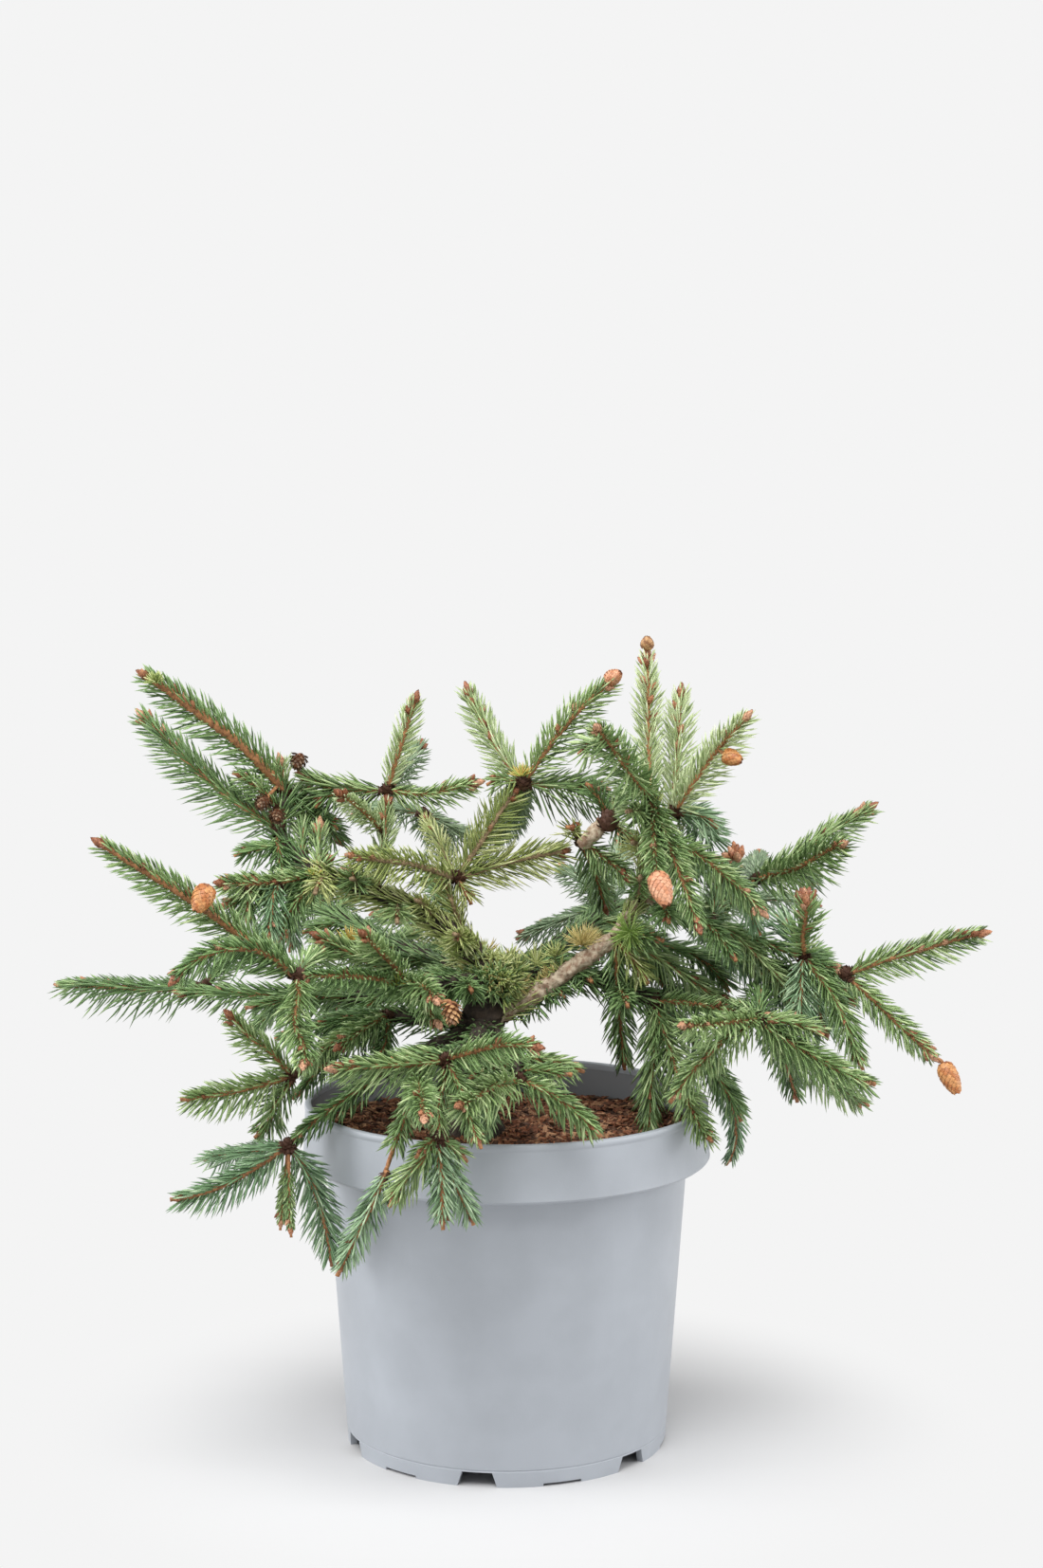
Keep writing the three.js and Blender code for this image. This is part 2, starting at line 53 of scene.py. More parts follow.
# The rolled rim's outline, from its outside to its inside: how far it is out from the wall and under the top.
RIM_ROLL = (
    (0.45, 3.5), (0.6, 2.4), (0.5, 1.2), (0, 0.35), (-0.8, 0), (-2.6, 0), (-3.4, 0.4), (-3.6, 1.2), (-2.6, 4),
)
FOOT_RING = 4.0  # its thickness
NOTCHES = [(260, 7.0, 5.25, 9.0), (290, 7.05, 6.95, 1.8)]  # heading, half widths low and high, height
SOIL_LEVEL = 188
CHIPS = 5200
FIBRES = 0.25  # share of the chips that are long and thin
TRUNK = [(19, 0), (13.5, 0.14), (11.8, 0.35), (11.8, 0.55), (13.5, 0.78), (12.4, 0.93), (6.8, 1)]
FORKS = {
    "foot": (-20, 0, 188),
    "waist": (-18, 0, 222),
    "neck": (-15, -2, 256),
    "head": (-8, 0, 282),
    "right_elbow": (19, -5, 277),
    "right_shoulder": (65, -10, 311),
    "right_bend": (80, -10, 337),
    "right_crown": (84, -15, 368),
    "top_right": (86, -20, 396),
    "top_side": (100, -10, 386),
    "right_arm": (123, -20, 321),
    "right_fork": (177, -30, 303),
    "right_far": (201, -43, 294),
    "right_high": (154, 42, 338),
    "right_low_start": (43, 12, 284),
    "right_low": (90, -10, 272),
    "right_low_far": (149, -60, 270),
    "back_right_start": (32, 48, 296),
    "back_right": (66, 100, 312),
    "back_right_far": (122, 128, 300),
    "back_start": (-22, 70, 284),
    "back": (-34, 138, 286),
    "back_left_start": (-62, 52, 292),
    "back_left": (-118, 104, 310),
    "back_left_low": (-92, 84, 262),
    "mid_start": (-26, 0, 312),
    "mid_fork": (-30, 0, 345),
    "mid_arm": (45, 5, 366),
    "mid_knot": (61, 0, 382),
    "top_mid": (10, 0, 403),
    "back_knot": (-52, 60, 377),
    "left_start": (-44, -6, 322),
    "left_stem": (-77, -18, 338),
    "left_fork": (-111, -40, 354),
    "left_step": (-136, -20, 377),
    "left_high": (-132, -10, 399),
    "stem_side": (-74, -8, 375),
    "top_left": (-72, 0, 399),
    "left_front_start": (-58, -58, 290),
    "left_front": (-118, -120, 307),
    "left_far_start": (-98, 12, 270),
    "left_far": (-187, 32, 273),
    "left_low_start": (-70, -24, 266),
    "left_low": (-125, -60, 237),
    "left_drop_start": (-72, -58, 238),
    "left_drop": (-126, -92, 203),
    "front_start": (-18, -75, 258),
    "front_knot": (-33, -150, 265),
    "front_side": (-49, -152, 254),
    "front_drop": (-65, -167, 207),
    "front_hang": (-37, -165, 224),
    "front_right_start": (2, -60, 252),
    "front_right": (8, -118, 247),
}
# Forks passed, radius where it leaves, radius at its end, share of its length that old needles clothe.
BOUGHS = {
    "bough_right": (("neck", "right_elbow", "right_shoulder"), 6.4, 4.8, 0),
    "bough_mid": (("head", "mid_start"), 7, 5, 1),
    "bough_left": (("head", "left_start", "left_stem", "left_fork"), 6.5, 3.8, 1),
    "bough_left_front": (("head", "left_front_start"), 6, 4.4, 0.7),
    "bough_left_far": (("head", "left_far_start"), 6, 4.6, 0.7),
    "bough_back_right": (("head", "back_right_start", "back_right"), 6, 3.6, 0.8),
    "bough_back_left": (("head", "back_left_start", "back_left"), 6, 3.6, 0.8),
    "bough_back": (("head", "back_start", "back"), 5.5, 3.4, 0.8),
    "bough_front": (("neck", "front_start", "front_knot"), 6, 3.4, 0.3),
    "bough_right_low": (("head", "right_low_start", "right_low"), 6, 4, 0.6),
    "bough_left_low": (("neck", "left_low_start"), 5.5, 4, 0.45),
    "bough_left_drop": (("neck", "left_drop_start"), 5.5, 4.2, 0.45),
    "bough_front_right": (("neck", "front_right_start", "front_right"), 5, 3, 0.35),
    "bough_right_top": (("right_shoulder", "right_bend", "right_crown", "top_right"), 3.4, 2.8, 0.8),
    "bough_right_arm": (("right_bend", "right_arm"), 3.2, 2.8, 0.8),
    "bough_left_top": (("left_fork", "left_step", "left_high"), 3.6, 3.2, 0.7),
}
# The CAD's foliage nodes, in rows: the fork and tone of some shoots and, for each of them, its heading, rise,
# length, arch, girth and, where it bulges to +X, by how much.
FOLIAGE = {
    "right_far_high": [("right_far", "young", (348, 19, 87, 2, 1.05))],
    "right_far_low": [("right_far", "young", (328, -37, 74, 0, 0.95))],
    "left_far": [
        ("left_far_start", "deep", (169, 0, 109, 0, 1.15)),
        ("left_far", "deep", (164, -2, 99, -1, 1.25), (69, 13, 64, 3, 0.9)),
    ],
    "left_top": [("left_high", "deep", (203, 40, 116, 6, 1.2))],
    "left_upper": [
        ("left_step", "deep", (161, 37, 114, -4, 1.35), (280, -45, 40, 0, 0.9)),
        ("left_high", "deep", (43, -39, 56, 2, 1.2)),
    ],
    "left_front_long": [
        ("left_front_start", "deep", (226, 11, 88, 3, 0.9)),
        ("left_front", "young", (196, 36, 139, 2, 1.05)),
        ("left_front", "deep", (214, 3, 79, 18, 1.1)),
    ],
    "left_front": [("left_front", "young", (277, -28, 80, -3, 1.35))],
    "left_arm": [
        ("left_fork", "young", (219, 1, 71, -3, 1.15)),
        ("left_fork", "deep", (238, -40, 54, 4, 1)),
        ("left_fork", "young", (89, 62, 34, 0, 0.8)),
        ("left_fork", "deep", (209, -14, 64, 2, 1)),
    ],
    "top_left": [
        ("top_left", "light", (331, 70, 63, 0, 0.9)),
        ("top_left", "young", (341, 7, 61, -3, 0.85)),
        ("top_left", "pale", (74, 19, 72, -3, 1.1)),
    ],
    "left_stem": [
        ("left_stem", "light", (74, 72, 62, 0, 0.9)),
        ("stem_side", "light", (236, 32, 54, 2, 0.7)),
        ("top_left", "young", (185, 11, 54, -4, 1.35)),
        ("left_stem", "olive", (198, 38, 28, 2, 1)),
        ("left_high", "light", (180, 80, 22, 2, 0.8)),
    ],
    "top_mid": [
        ("top_mid", "young", (345, 49, 86, 5, 1.15), (22, -6, 56, 0, 1.5)),
        ("top_mid", "light", (143, 53, 72, -6, 1.1)),
    ],
    "mid": [
        ("mid_start", "olive", (180, 70, 38, 0, 0.9)),
        ("mid_fork", "olive", (0, 56, 68, 2, 1.2), (218, 15, 84, 2, 1.2)),
    ],
    "mid_arm": [
        ("mid_fork", "olive", (4, 14, 71, 2, 1.3)),
        ("mid_arm", "young", (319, -27, 43, 4, 1)),
        ("mid_arm", "deep", (64, -51, 61, 5, 1)),
        ("mid_arm", "olive", (340, 42, 24, 0, 0.5)),
        ("mid_knot", "young", (70, 14, 72, 4, 0.9)),
    ],
    "back_knot": [
        ("mid_fork", "olive", (110, 27, 72, 0, 0.9)),
        ("back_knot", "pale", (43, -23, 56, 0, 1), (79, -28, 69, 5, 1), (135, -5, 66, 4, 1)),
    ],
    "top_mid_back": [("top_mid", "pale", (98, -26, 102, 1, 0.9), (103, -28, 100, 2, 1.1))],
    "right_top": [
        ("top_right", "light", (98, 80, 90, 0, 1)),
        ("top_right", "young", (249, 28, 111, 0, 1.5)),
    ],
    "right_side": [
        ("top_side", "light", (77, 71, 79, 0, 1.2), (328, 51, 81, 3, 1.2)),
        ("top_side", "blue", (61, -20, 67, 4, 1.45)),
    ],
    "right_hang": [("top_right", "young", (271, -32, 79, 1, 1.05), (287, -38, 108, 2, 1.2))],
    "right_crown": [("right_crown", "young", (322, -22, 92, 12, 1.1))],
    "right_arm": [
        ("right_arm", "deep", (77, 21, 88, 6, 1)),
        ("right_arm", "young", (345, -42, 70, 8, 1)),
        ("right_arm", "blue", (10, -47, 82, 3, 1.3)),
    ],
    "right_high": [
        ("right_high", "young", (6, 32, 88, 0, 1.15), (308, 22, 85, -1, 1.5)),
        ("right_high", "deep", (240, -10, 50, 0, 0.8)),
    ],
    "right_high_back": [("right_high", "pale", (84, 4, 89, -1, 1), (50, -7, 69, 9, 1))],
    "right_fork": [
        ("right_arm", "deep", (350, -18, 57, 0, 0.9)),
        ("right_fork", "deep", (332, -18, 27, 0, 0.7)),
        ("right_fork", "young", (267, 63, 44, -5, 1.1), (304, -47, 81, 8, 1.2)),
        ("right_fork", "deep", (58, -30, 81, 8, 1), (66, -12, 39, 3, 1)),
        ("right_fork", "blue", (33, -70, 54, 2, 1.5)),
    ],
    "right_low_far": [
        ("right_low_far", "young", (321, -19, 84, -4, 1.4), (30, -37, 100, -4, 1.1)),
        ("right_low_far", "deep", (65, -43, 91, 10, 1)),
    ],
    "right_low_front": [
        ("right_low", "young", (320, -1, 88, 3, 0.9)),
        ("right_low_far", "young", (234, 7, 87, 0, 1.2), (219, -29, 81, 8, 1.15)),
    ],
    "right_low": [
        ("right_low", "blue", (44, -60, 129, -7, 0.9, 23)),
        ("right_low", "young", (292, -41, 105, -12, 1.35), (259, -72, 83, 6, 1.35)),
    ],
    "right_low_back": [("right_low", "deep", (62, -18, 96, 12, 1))],
    "right_shoulder": [
        ("right_shoulder", "deep", (37, -15, 115, 0, 1.1), (62, -30, 84, 8, 1)),
        ("right_shoulder", "young", (0, -30, 82, 2, 1.1)),
        ("right_shoulder", "deep", (70, -76, 88, -6, 1.1)),
    ],
    "back_right": [
        ("back_right", "pale", (140, -20, 82, 3, 1), (114, 12, 79, 4, 1), (82, 24, 92, 5, 1)),
        ("back_right", "deep", (96, -34, 84, 8, 1)),
    ],
    "back_right_far": [
        ("back_right", "deep", (27, -10, 62, 0, 0.9)),
        ("back_right_far", "pale", (58, 18, 96, 6, 1), (24, 2, 92, 8, 1)),
        ("back_right_far", "deep", (76, -30, 84, 10, 1)),
    ],
    "back": [("back", "deep", (104, 22, 92, 5, 1), (134, 4, 84, 6, 1), (92, -38, 88, 8, 1))],
    "back_left": [
        ("back_left", "deep", (117, 28, 86, 5, 1), (150, 8, 80, 8, 1), (96, 8, 92, 8, 1)),
        ("back_left", "deep", (140, -28, 80, 10, 1)),
    ],
    "back_left_low": [
        ("back_left_start", "deep", (128, -34, 64, 0, 0.8)),
        ("back_left_low", "deep", (112, -30, 92, 12, 1), (158, -24, 94, 12, 1), (82, -47, 71, 8, 1)),
    ],
    "left_low": [
        ("left_low_start", "young", (213, -24, 72, 3, 0.9), (233, -14, 51, 2, 0.9)),
        ("left_low_start", "deep", (258, -51, 35, 0, 0.9)),
        ("left_low", "young", (210, -5, 72, -2, 1.2), (215, -52, 43, -3, 1.1), (208, 45, 59, 0, 0.9)),
    ],
    "left_drop_side": [
        ("left_drop_start", "deep", (212, -29, 72, 3, 0.9)),
        ("left_drop", "blue", (146, -15, 68, 0, 1), (195, -22, 74, -6, 1.1)),
    ],
    "left_drop": [
        ("left_drop", "young", (207, -84, 50, -1, 0.42), (279, -70, 53, -1, 0.46)),
        ("left_drop", "blue", (35, -69, 82, 6, 1.2, 4)),
    ],
    "front_high": [("front_knot", "young", (209, 2, 72, -1, 1.2), (323, 13, 68, 4, 1))],
    "front_right": [("front_right", "young", (241, -1, 71, 1, 1.5), (325, -25, 61, 5, 1.05))],
    "front_drop": [
        ("front_side", "young", (275, -5, 73, 4, 1), (223, -64, 52, 0, 0.8)),
        ("front_drop", "blue", (176, -65, 67, 0, 0.9)),
    ],
    "front_hang": [
        ("front_knot", "young", (255, -69, 46, 0, 0.8), (304, -50, 56, 2, 0.8)),
        ("front_hang", "young", (202, -51, 46, 2, 1.1)),
        ("front_hang", "blue", (281, -71, 50, 2, 0.9), (15, -68, 54, 0, 1)),
    ],
    "inner_left": [
        ("left_front_start", "young", (290, 0, 58, 5, 1), (237, 40, 60, 3, 1)),
        ("left_front_start", "young", (297, -20, 48, 3, 1), (198, 31, 66, 2, 1.1)),
        ("left_front", "young", (76, 6, 62, 2, 1.1)),
    ],
}
Shoot = namedtuple("Shoot", "fork tone heading rise length arch girth bulge", defaults=(0,))

# Lesser shoots inside the crown: fork, or a share of another's length, then the same sizes, and the tone.
SPRIGS = (
    (("left_arm", 0, 0.7), 268, -84, 23, 4, 1.2, "young"),
    (("left_arm", 0, 0.4), 262, -46, 42, 4, 1.1, "blue"),
    (("left_arm", 1, 0.5), 198, -84, 29, 3, 1, "blue"),
    ("mid_knot", 201, 57, 26, 3, 0.9, "deep"),
    (("front_right", 0, 0.45), 108, -58, 42, 3, 0.9, "deep"),
    ("top_mid", 180, -2, 22, 3, 0.8, "young"),
    ("left_low_start", 205, -36, 77, 3, 0.9, "deep"),
    ("mid_fork", 330, -56, 18, 2, 0.9, "olive"),
    (("left_stem", 2, 0.5), 206, -33, 20, 3, 1.1, "deep"),
    ("right_low_far", 88, 18, 42, 2, 1, "deep"),
    ("front_hang", 227, -24, 19, 2, 0.8, "young"),
    ("front_hang", 18, -41, 22, 2, 0.8, "young"),
    ("mid_knot", 327, -36, 22, 2, 0.9, "young"),
    ("mid_arm", 228, 40, 18, 3, 0.9, "olive"),
    (("right_top", 1, 0.75), 160, -18, 20, 3, 1.2, "young"),
    ("top_side", 349, -17, 28, 4, 1.2, "blue"),
    ("right_crown", 34, -27, 51, 4, 1.1, "blue"),
    ("right_shoulder", 325, 2, 35, 2, 1, "deep"),
    ("right_shoulder", 334, -50, 35, 2, 1.1, "olive"),
    ("right_fork", 136, 46, 31, 3, 1.4, "blue"),
    ("right_fork", 260, -54, 52, 4, 1.2, "blue"),
    (("right_crown", 0, 0.6), 20, -57, 46, 4, 1, "blue"),
    ("right_arm", 33, -41, 49, 3, 1.3, "deep"),
    (("right_shoulder", 0, 0.5), 328, -35, 38, 4, 1.3, "deep"),
    ("right_low_far", 127, 5, 25, 3, 1.1, "young"),
    ("right_low_far", 330, -7, 41, 4, 1.1, "young"),
    (("right_arm", 2, 0.5), 12, -17, 23, 3, 1.4, "deep"),
    (("right_low", 0, 0.3), 334, -57, 52, 3, 1.1, "deep"),
    ("left_low_start", 185, -11, 70, 3, 1, "deep"),
    ("left_low_start", 188, -4, 43, 2, 1, "deep"),
    ("left_far_start", 191, -4, 62, 3, 1, "deep"),
    (("left_upper", 2, 0.4), 341, -31, 21, 3, 1, "deep"),
    ("left_fork", 49, 35, 16, 2, 0.9, "young"),
)
# What sets single shoots apart, by mass and place in it: side buds, stoutness of the twig, needles per mm,
# and the shares of its length at its end and foot that have no needles.
SPECIAL = {
    ("left_top", 0): {"laterals": 7, "stout": 1.85, "density": 2.4},
    ("left_upper", 0): {"laterals": 4, "stout": 1.25},
    ("left_front_long", 1): {"laterals": 6, "stout": 1.5},
    ("left_far", 1): {"laterals": 3, "stout": 1.3},
    ("left_arm", 0): {"laterals": 4},
    ("top_left", 0): {"laterals": 3, "density": 2.3},
    ("top_left", 2): {"density": 2.2},
    ("top_mid", 0): {"laterals": 4, "density": 2.5},
    ("top_mid", 2): {"laterals": 4},
    ("right_top", 0): {"laterals": 6},
    ("right_top", 1): {"laterals": 4, "density": 2.5},
    ("right_side", 0): {"laterals": 4},
    ("right_side", 1): {"laterals": 2},
    ("right_far_high", 0): {"laterals": 6},
    ("right_far_low", 0): {"laterals": 3},
    ("right_fork", 2): {"laterals": 5},
    ("right_high", 0): {"laterals": 4},
    ("right_arm", 0): {"laterals": 4},
    ("front_drop", 1): {"bare_end": 0.28},
    ("left_drop", 0): {"bare_foot": 0.16},
    ("left_drop", 1): {"bare_foot": 0.26},
}
# Shoots turned so that the side where their needles part, and the twig shows, faces forward.
PARTED = {
    ("left_top", 0), ("left_front_long", 1), ("left_arm", 0), ("left_front", 0), ("left_low", 3),
    ("left_drop_side", 2), ("front_high", 1), ("mid", 1), ("mid", 2), ("mid_arm", 0), ("right_top", 1),
    ("right_hang", 1), ("right_far_high", 0), ("right_far_low", 0), ("right_high", 1),
}
FORWARD = np.array([0.0, -1.0, -0.2])
SLOPING = np.array([0.0, -0.75, -0.65])  # forward and down, for the others
FRONT_HALF = 30  # a fork with a lesser y is in the half of the crown that faces forward
FIRST_SIDE_SHOOT = {"bough_mid": 9, "bough_front": 28, "bough_front_right": 24}  # how much further along
BARE_BOUGHS = ("bough_right", "bough_right_top", "bough_right_arm")
OLIVE_BOUGHS = ("bough_mid", "bough_left", "bough_right_top")

# Rosettes of needles: place, tone, needles, their length and the way they face.
TUFTS = (
    ((74, -22, 316), "bright", 80, 16, (-0.1, -1, 0.1)),
    ((46, -7, 306), "dry", 110, 14, (0, -0.3, 1)),
    ((30, -6, 299), "olive", 40, 12, (-0.3, -0.3, 1)),
    ((18, -6, 294), "olive", 44, 13, (0.2, -0.3, 1)),
    ((6, -8, 290), "olive", 40, 12, (0.3, -0.3, 1)),
    ((9, -6, 408), "fresh", 40, 8, (0, 0, 1)),
    ((-112, -46, 354), "fresh", 36, 6, (0, 0, 1)),
    ((-63, -66, 292), "fresh", 36, 10, (0, 0, 1)),
    ((-91, -60, 317), "fresh", 36, 10, (0, 0, 1)),
    ((-204, -47, 468), "olive", 60, 7, (-0.3, -0.5, 1)),
)
KNOT_SIZE = 5.6  # of the old bud scales at a fork
KNOT_SIZES = {"mid_knot": 13, "top_mid": 8, "right_far": 8, "mid_fork": 3.5}
LONE_KNOTS = ("left_high", "right_crown", "mid_knot")  # forks with a knot though few shoots spring there
MID_KNOT_BACK = np.array([0, 16, 0])
# Clusters of buds: the shoot and share of it that they spring from, their place and the way they face.
CLUSTERS = (
    (("right_fork", 2, 0.82), (176, -42, 338), (0, -0.2, 1)),
    (("right_crown", 0, 0.45), (137, -22, 361), (-0.2, -0.4, 1)),
)
# Cones: the shoot and share of it that they hang from, place, the way they point, length, width and tint.
CONES_AT = (
    (("left_front_long", 1, 0.5), (-164, -148, 363), (-0.4, -0.35, -0.9), 16, 12.5, "orange"),
    (("inner_left", 0, 1), (-31, -113, 291), (0.1, -0.4, -1), 13, 9.5, "open"),
    (("right_hang", 0, 0.9), (86, -92, 362), (0.3, -0.5, -0.9), 21, 13.5, "pink"),
    (("top_mid", 0, 0.91), (60, -13, 466), (0.5, -0.4, 0.35), 11, 9.5, "pink"),
    (("right_top", 0, 1), (84, -7, 484), (0, -0.1, 1), 8, 8, "tan"),
    (("right_side", 1, 0.6), (128, -33, 424), (0.8, -0.4, -0.25), 12, 10, "orange"),
    (("right_far_low", 0, 1), (254, -76, 248), (0.42, -0.2, -0.85), 20, 11.5, "orange"),
    (("left_stem", 2, 1), (-123, -8, 421), (-0.3, -0.6, -0.7), 9, 8.5, "old"),
    (("left_top", 0, 0.05), (-142, -26, 397), (-0.5, -0.6, -0.5), 8, 8, "old"),
    (("left_upper", 0, 0.05), (-136, -30, 390), (0.2, -0.8, -0.6), 8, 8, "old"),
)

# ---- the photo
CAMERA_PLACE = np.array([0.0091, -1.743, 0.598])
CAMERA_DIP = radians(6.39)
CAMERA_LENS = 66.9
CAMERA_FOCUS = 3074  # the same, in the photo's pixels
PHOTO_CENTRE = (550, 827)
# Where the photo shows sky between the boughs, as left, right, top and bottom in its pixels.
SKY = (
    (505, 600, 935, 1005), (540, 645, 1066, 1115), (440, 480, 1065, 1105),
    (408, 432, 1062, 1100), (365, 395, 1085, 1112), (420, 450, 870, 890),
)
SKY_MARGIN = 8

# ---- light
ROOM_LIGHT = 0.66
SOFTBOXES = (  # name, place, power
    ("softbox_top", (-0.3, -1.3, 2.3), 60),
    ("softbox_left", (-2.3, -0.2, 1.1), 45),
    ("softbox_right", (2.3, -0.2, 1.1), 36),
)
SOFTBOX_SIZE = 1.5
LIT_SPOT = Vector((0, 0, 0.3))
FLOOR_FADE = (0.12, 0.3)  # how far from the pot's axis the floor starts and ends to turn white

# ---- colours, as 0-255 display values; a pair is a colour and the darker one that it wanders to
TONES = {
    "young": ((118, 146, 90), (146, 170, 112), (182, 200, 146), (84, 107, 64)),
    "blue": ((114, 146, 106), (142, 170, 132), (178, 200, 163), (80, 107, 74)),
    "light": ((166, 184, 132), (188, 202, 154), (210, 220, 182), (132, 152, 98)),
    "olive": ((152, 166, 96), (178, 186, 120), (206, 210, 154), (104, 120, 64)),
    # deep is a darker green that paints shade, mostly on shoots at the back and inside the crown and under
    # bare boughs
    "deep": ((94, 124, 74), (118, 148, 92), (146, 172, 116), (70, 96, 54)),
    # pale is a paler, greyer green for shoots at the back of the crown: a painted backlight
    "pale": ((120, 142, 108), (142, 162, 128), (164, 182, 150), (96, 118, 86)),
    "fresh": ((154, 170, 84), (198, 172, 88)),
    "bright": ((148, 176, 92), (172, 194, 118)),
    "dry": ((206, 188, 124), (182, 172, 110)),
}
COLOURS = {
    "pot": ((162, 167, 174), tuple(0.96 * v for v in (162, 167, 174))),
    "pot_inside_painted_shade": (122, 124, 128),
    # a darker grey for a sheet just inside the pot's wall: painted shade inside the pot
    "peat": ((84, 54, 38), (56, 36, 26)),
    "chips": ((134, 82, 56), (160, 104, 72), (190, 142, 106), (98, 66, 48)),
    "bark_old": ((72, 60, 50), (36, 29, 24)),
    "bark_bare": ((198, 183, 160), (138, 110, 90)),
    "twig_young": ((176, 122, 78), (120, 80, 50)),
    "twig_old": ((166, 142, 110), (104, 84, 62)),
    "buds": ((190, 128, 92), (208, 156, 122), (158, 98, 66)),
    "collars": (74, 44, 28),
    "cone_core": (132, 82, 54),
    "floor": (192, 192, 193),
}
CONE_TINTS = {
    "orange": ((206, 144, 88), (182, 112, 60)),
    "tan": ((190, 146, 98), (148, 102, 64)),
    "pink": ((218, 160, 124), (202, 136, 98)),
    "open": ((190, 146, 98), (140, 96, 60)),
    "old": ((138, 112, 88), (96, 72, 54)),
}
BACKGROUND = (0.905, 0.905, 0.905, 1)  # the white that the camera sees behind the plant


# ---- materials
def linear(colour):
    """A 0-255 display colour as the linear colour that shaders take."""
    c = np.array(colour) / 255
    return (*np.where(c <= 0.04045, c / 12.92, ((c + 0.055) / 1.055) ** 2.4), 1.0)


def add_node(tree, kind, **values):
    """A new shader node with some of its inputs set."""
    made = tree.nodes.new("ShaderNode" + kind)
    for name, value in values.items():
        made.inputs[name.replace("_", " ")].default_value = value
    return made


def noise_of(tree, place, scale, detail):
    made = add_node(tree, "TexNoise", Scale=scale, Detail=detail)
    tree.links.new(place, made.inputs["Vector"])
    return made.outputs["Fac"]


def material(name, colour, roughness, grain=None, bump=None, grit=None):
    """A plain material or, given a grain's scale, one of two colours; a bump has a scale too, the grit."""
    made = bpy.data.materials.new(name)
    made.use_nodes = True
    tree, join = made.node_tree, made.node_tree.links.new
    shader = tree.nodes["Principled BSDF"]
    shader.inputs["Roughness"].default_value = roughness
    shader.inputs["Base Color"].default_value = linear(colour[0] if grain else colour)
    if grain is None:
        return made
    place = add_node(tree, "TexCoord").outputs["Object"]
    ramp = add_node(tree, "ValToRGB")
    dark, bright = ramp.color_ramp.elements
    dark.position, bright.position = 0.36, 0.64
    dark.color, bright.color = linear(colour[1]), linear(colour[0])
    join(noise_of(tree, place, grain, 5), ramp.inputs["Fac"])
    join(ramp.outputs["Color"], shader.inputs["Base Color"])
    if bump:
        lift = add_node(tree, "Bump", Strength=bump, Distance=MM)
        join(noise_of(tree, place, grit, 6), lift.inputs["Height"])
        join(lift.outputs["Normal"], shader.inputs["Normal"])
    return made


def floor_finish():
    """Pale paint round the pot that turns, further off, into the white of the background."""
    made = material("floor_paint", COLOURS["floor"], 0.9)
    tree, join = made.node_tree, made.node_tree.links.new
    away = add_node(tree, "VectorMath")
    away.operation = "LENGTH"
    share = add_node(tree, "MapRange", From_Min=FLOOR_FADE[0], From_Max=FLOOR_FADE[1])
    share.interpolation_type = "SMOOTHSTEP"
    join(add_node(tree, "TexCoord").outputs["Object"], away.inputs[0])
    join(away.outputs["Value"], share.inputs["Value"])
    glow = add_node(tree, "Emission", Color=BACKGROUND)
    mix(tree, share.outputs["Result"], "Principled BSDF", glow, "Material Output")
    return made


def mix(tree, share, first, second, output):
    """Shows the second shader as far as the share says, and the first one otherwise."""
    either = add_node(tree, "MixShader")
    tree.links.new(share, either.inputs[0])
    tree.links.new(tree.nodes[first].outputs[0], either.inputs[1])
    tree.links.new(second.outputs[0], either.inputs[2])
    tree.links.new(either.outputs[0], tree.nodes[output].inputs[0])


# ---- tools for making meshes
def unit(v):
    return v / np.maximum(np.linalg.norm(v, axis=-1, keepdims=True), 1e-9)


def basis(ahead):
    """Ahead, side and up for any direction."""
    ahead = unit(np.asarray(ahead, float))
    side = unit(np.cross(ahead, Z if abs(ahead[2]) < 0.9 else np.array([1.0, 0, 0])))
    return ahead, side, np.cross(ahead, side)


def between(turn, first, second):
    """Directions turned by an angle from the first towards the second."""
    return np.cos(turn)[..., None] * first + np.sin(turn)[..., None] * second


def heading_to(turn, rise):
    """The direction turned from +X by the first angle and raised by the second."""
    return np.array([np.cos(rise) * np.cos(turn), np.cos(rise) * np.sin(turn), np.sin(rise)])


def bend_line(foot, middle, tip, count):
    """Points along a bend from foot to tip, drawn towards the middle."""
    t = np.linspace(0, 1, count)[:, None]
    return (1 - t) ** 2 * foot + 2 * t * (1 - t) * middle + t**2 * tip


def circle(sides):
    return np.arange(sides) * 2 * pi / sides


def net(rings, sides):
    """The four-cornered faces between rings of points."""
    i, j = np.meshgrid(np.arange(rings - 1), np.arange(sides), indexing="ij")
    k = (j + 1) % sides
    corners = [i * sides + j, i * sides + k, (i + 1) * sides + k, (i + 1) * sides + j]
    return np.stack(corners, -1).reshape(-1, 4)


def caps(rings, sides):
    """The faces that close a tube at its first and last ring."""
    ring = np.arange(sides)
    return np.array([ring[::-1], (rings - 1) * sides + ring])


def put_in_scene(name, data):
    made = bpy.data.objects.new(name, data)
    bpy.context.scene.collection.objects.link(made)
    return made


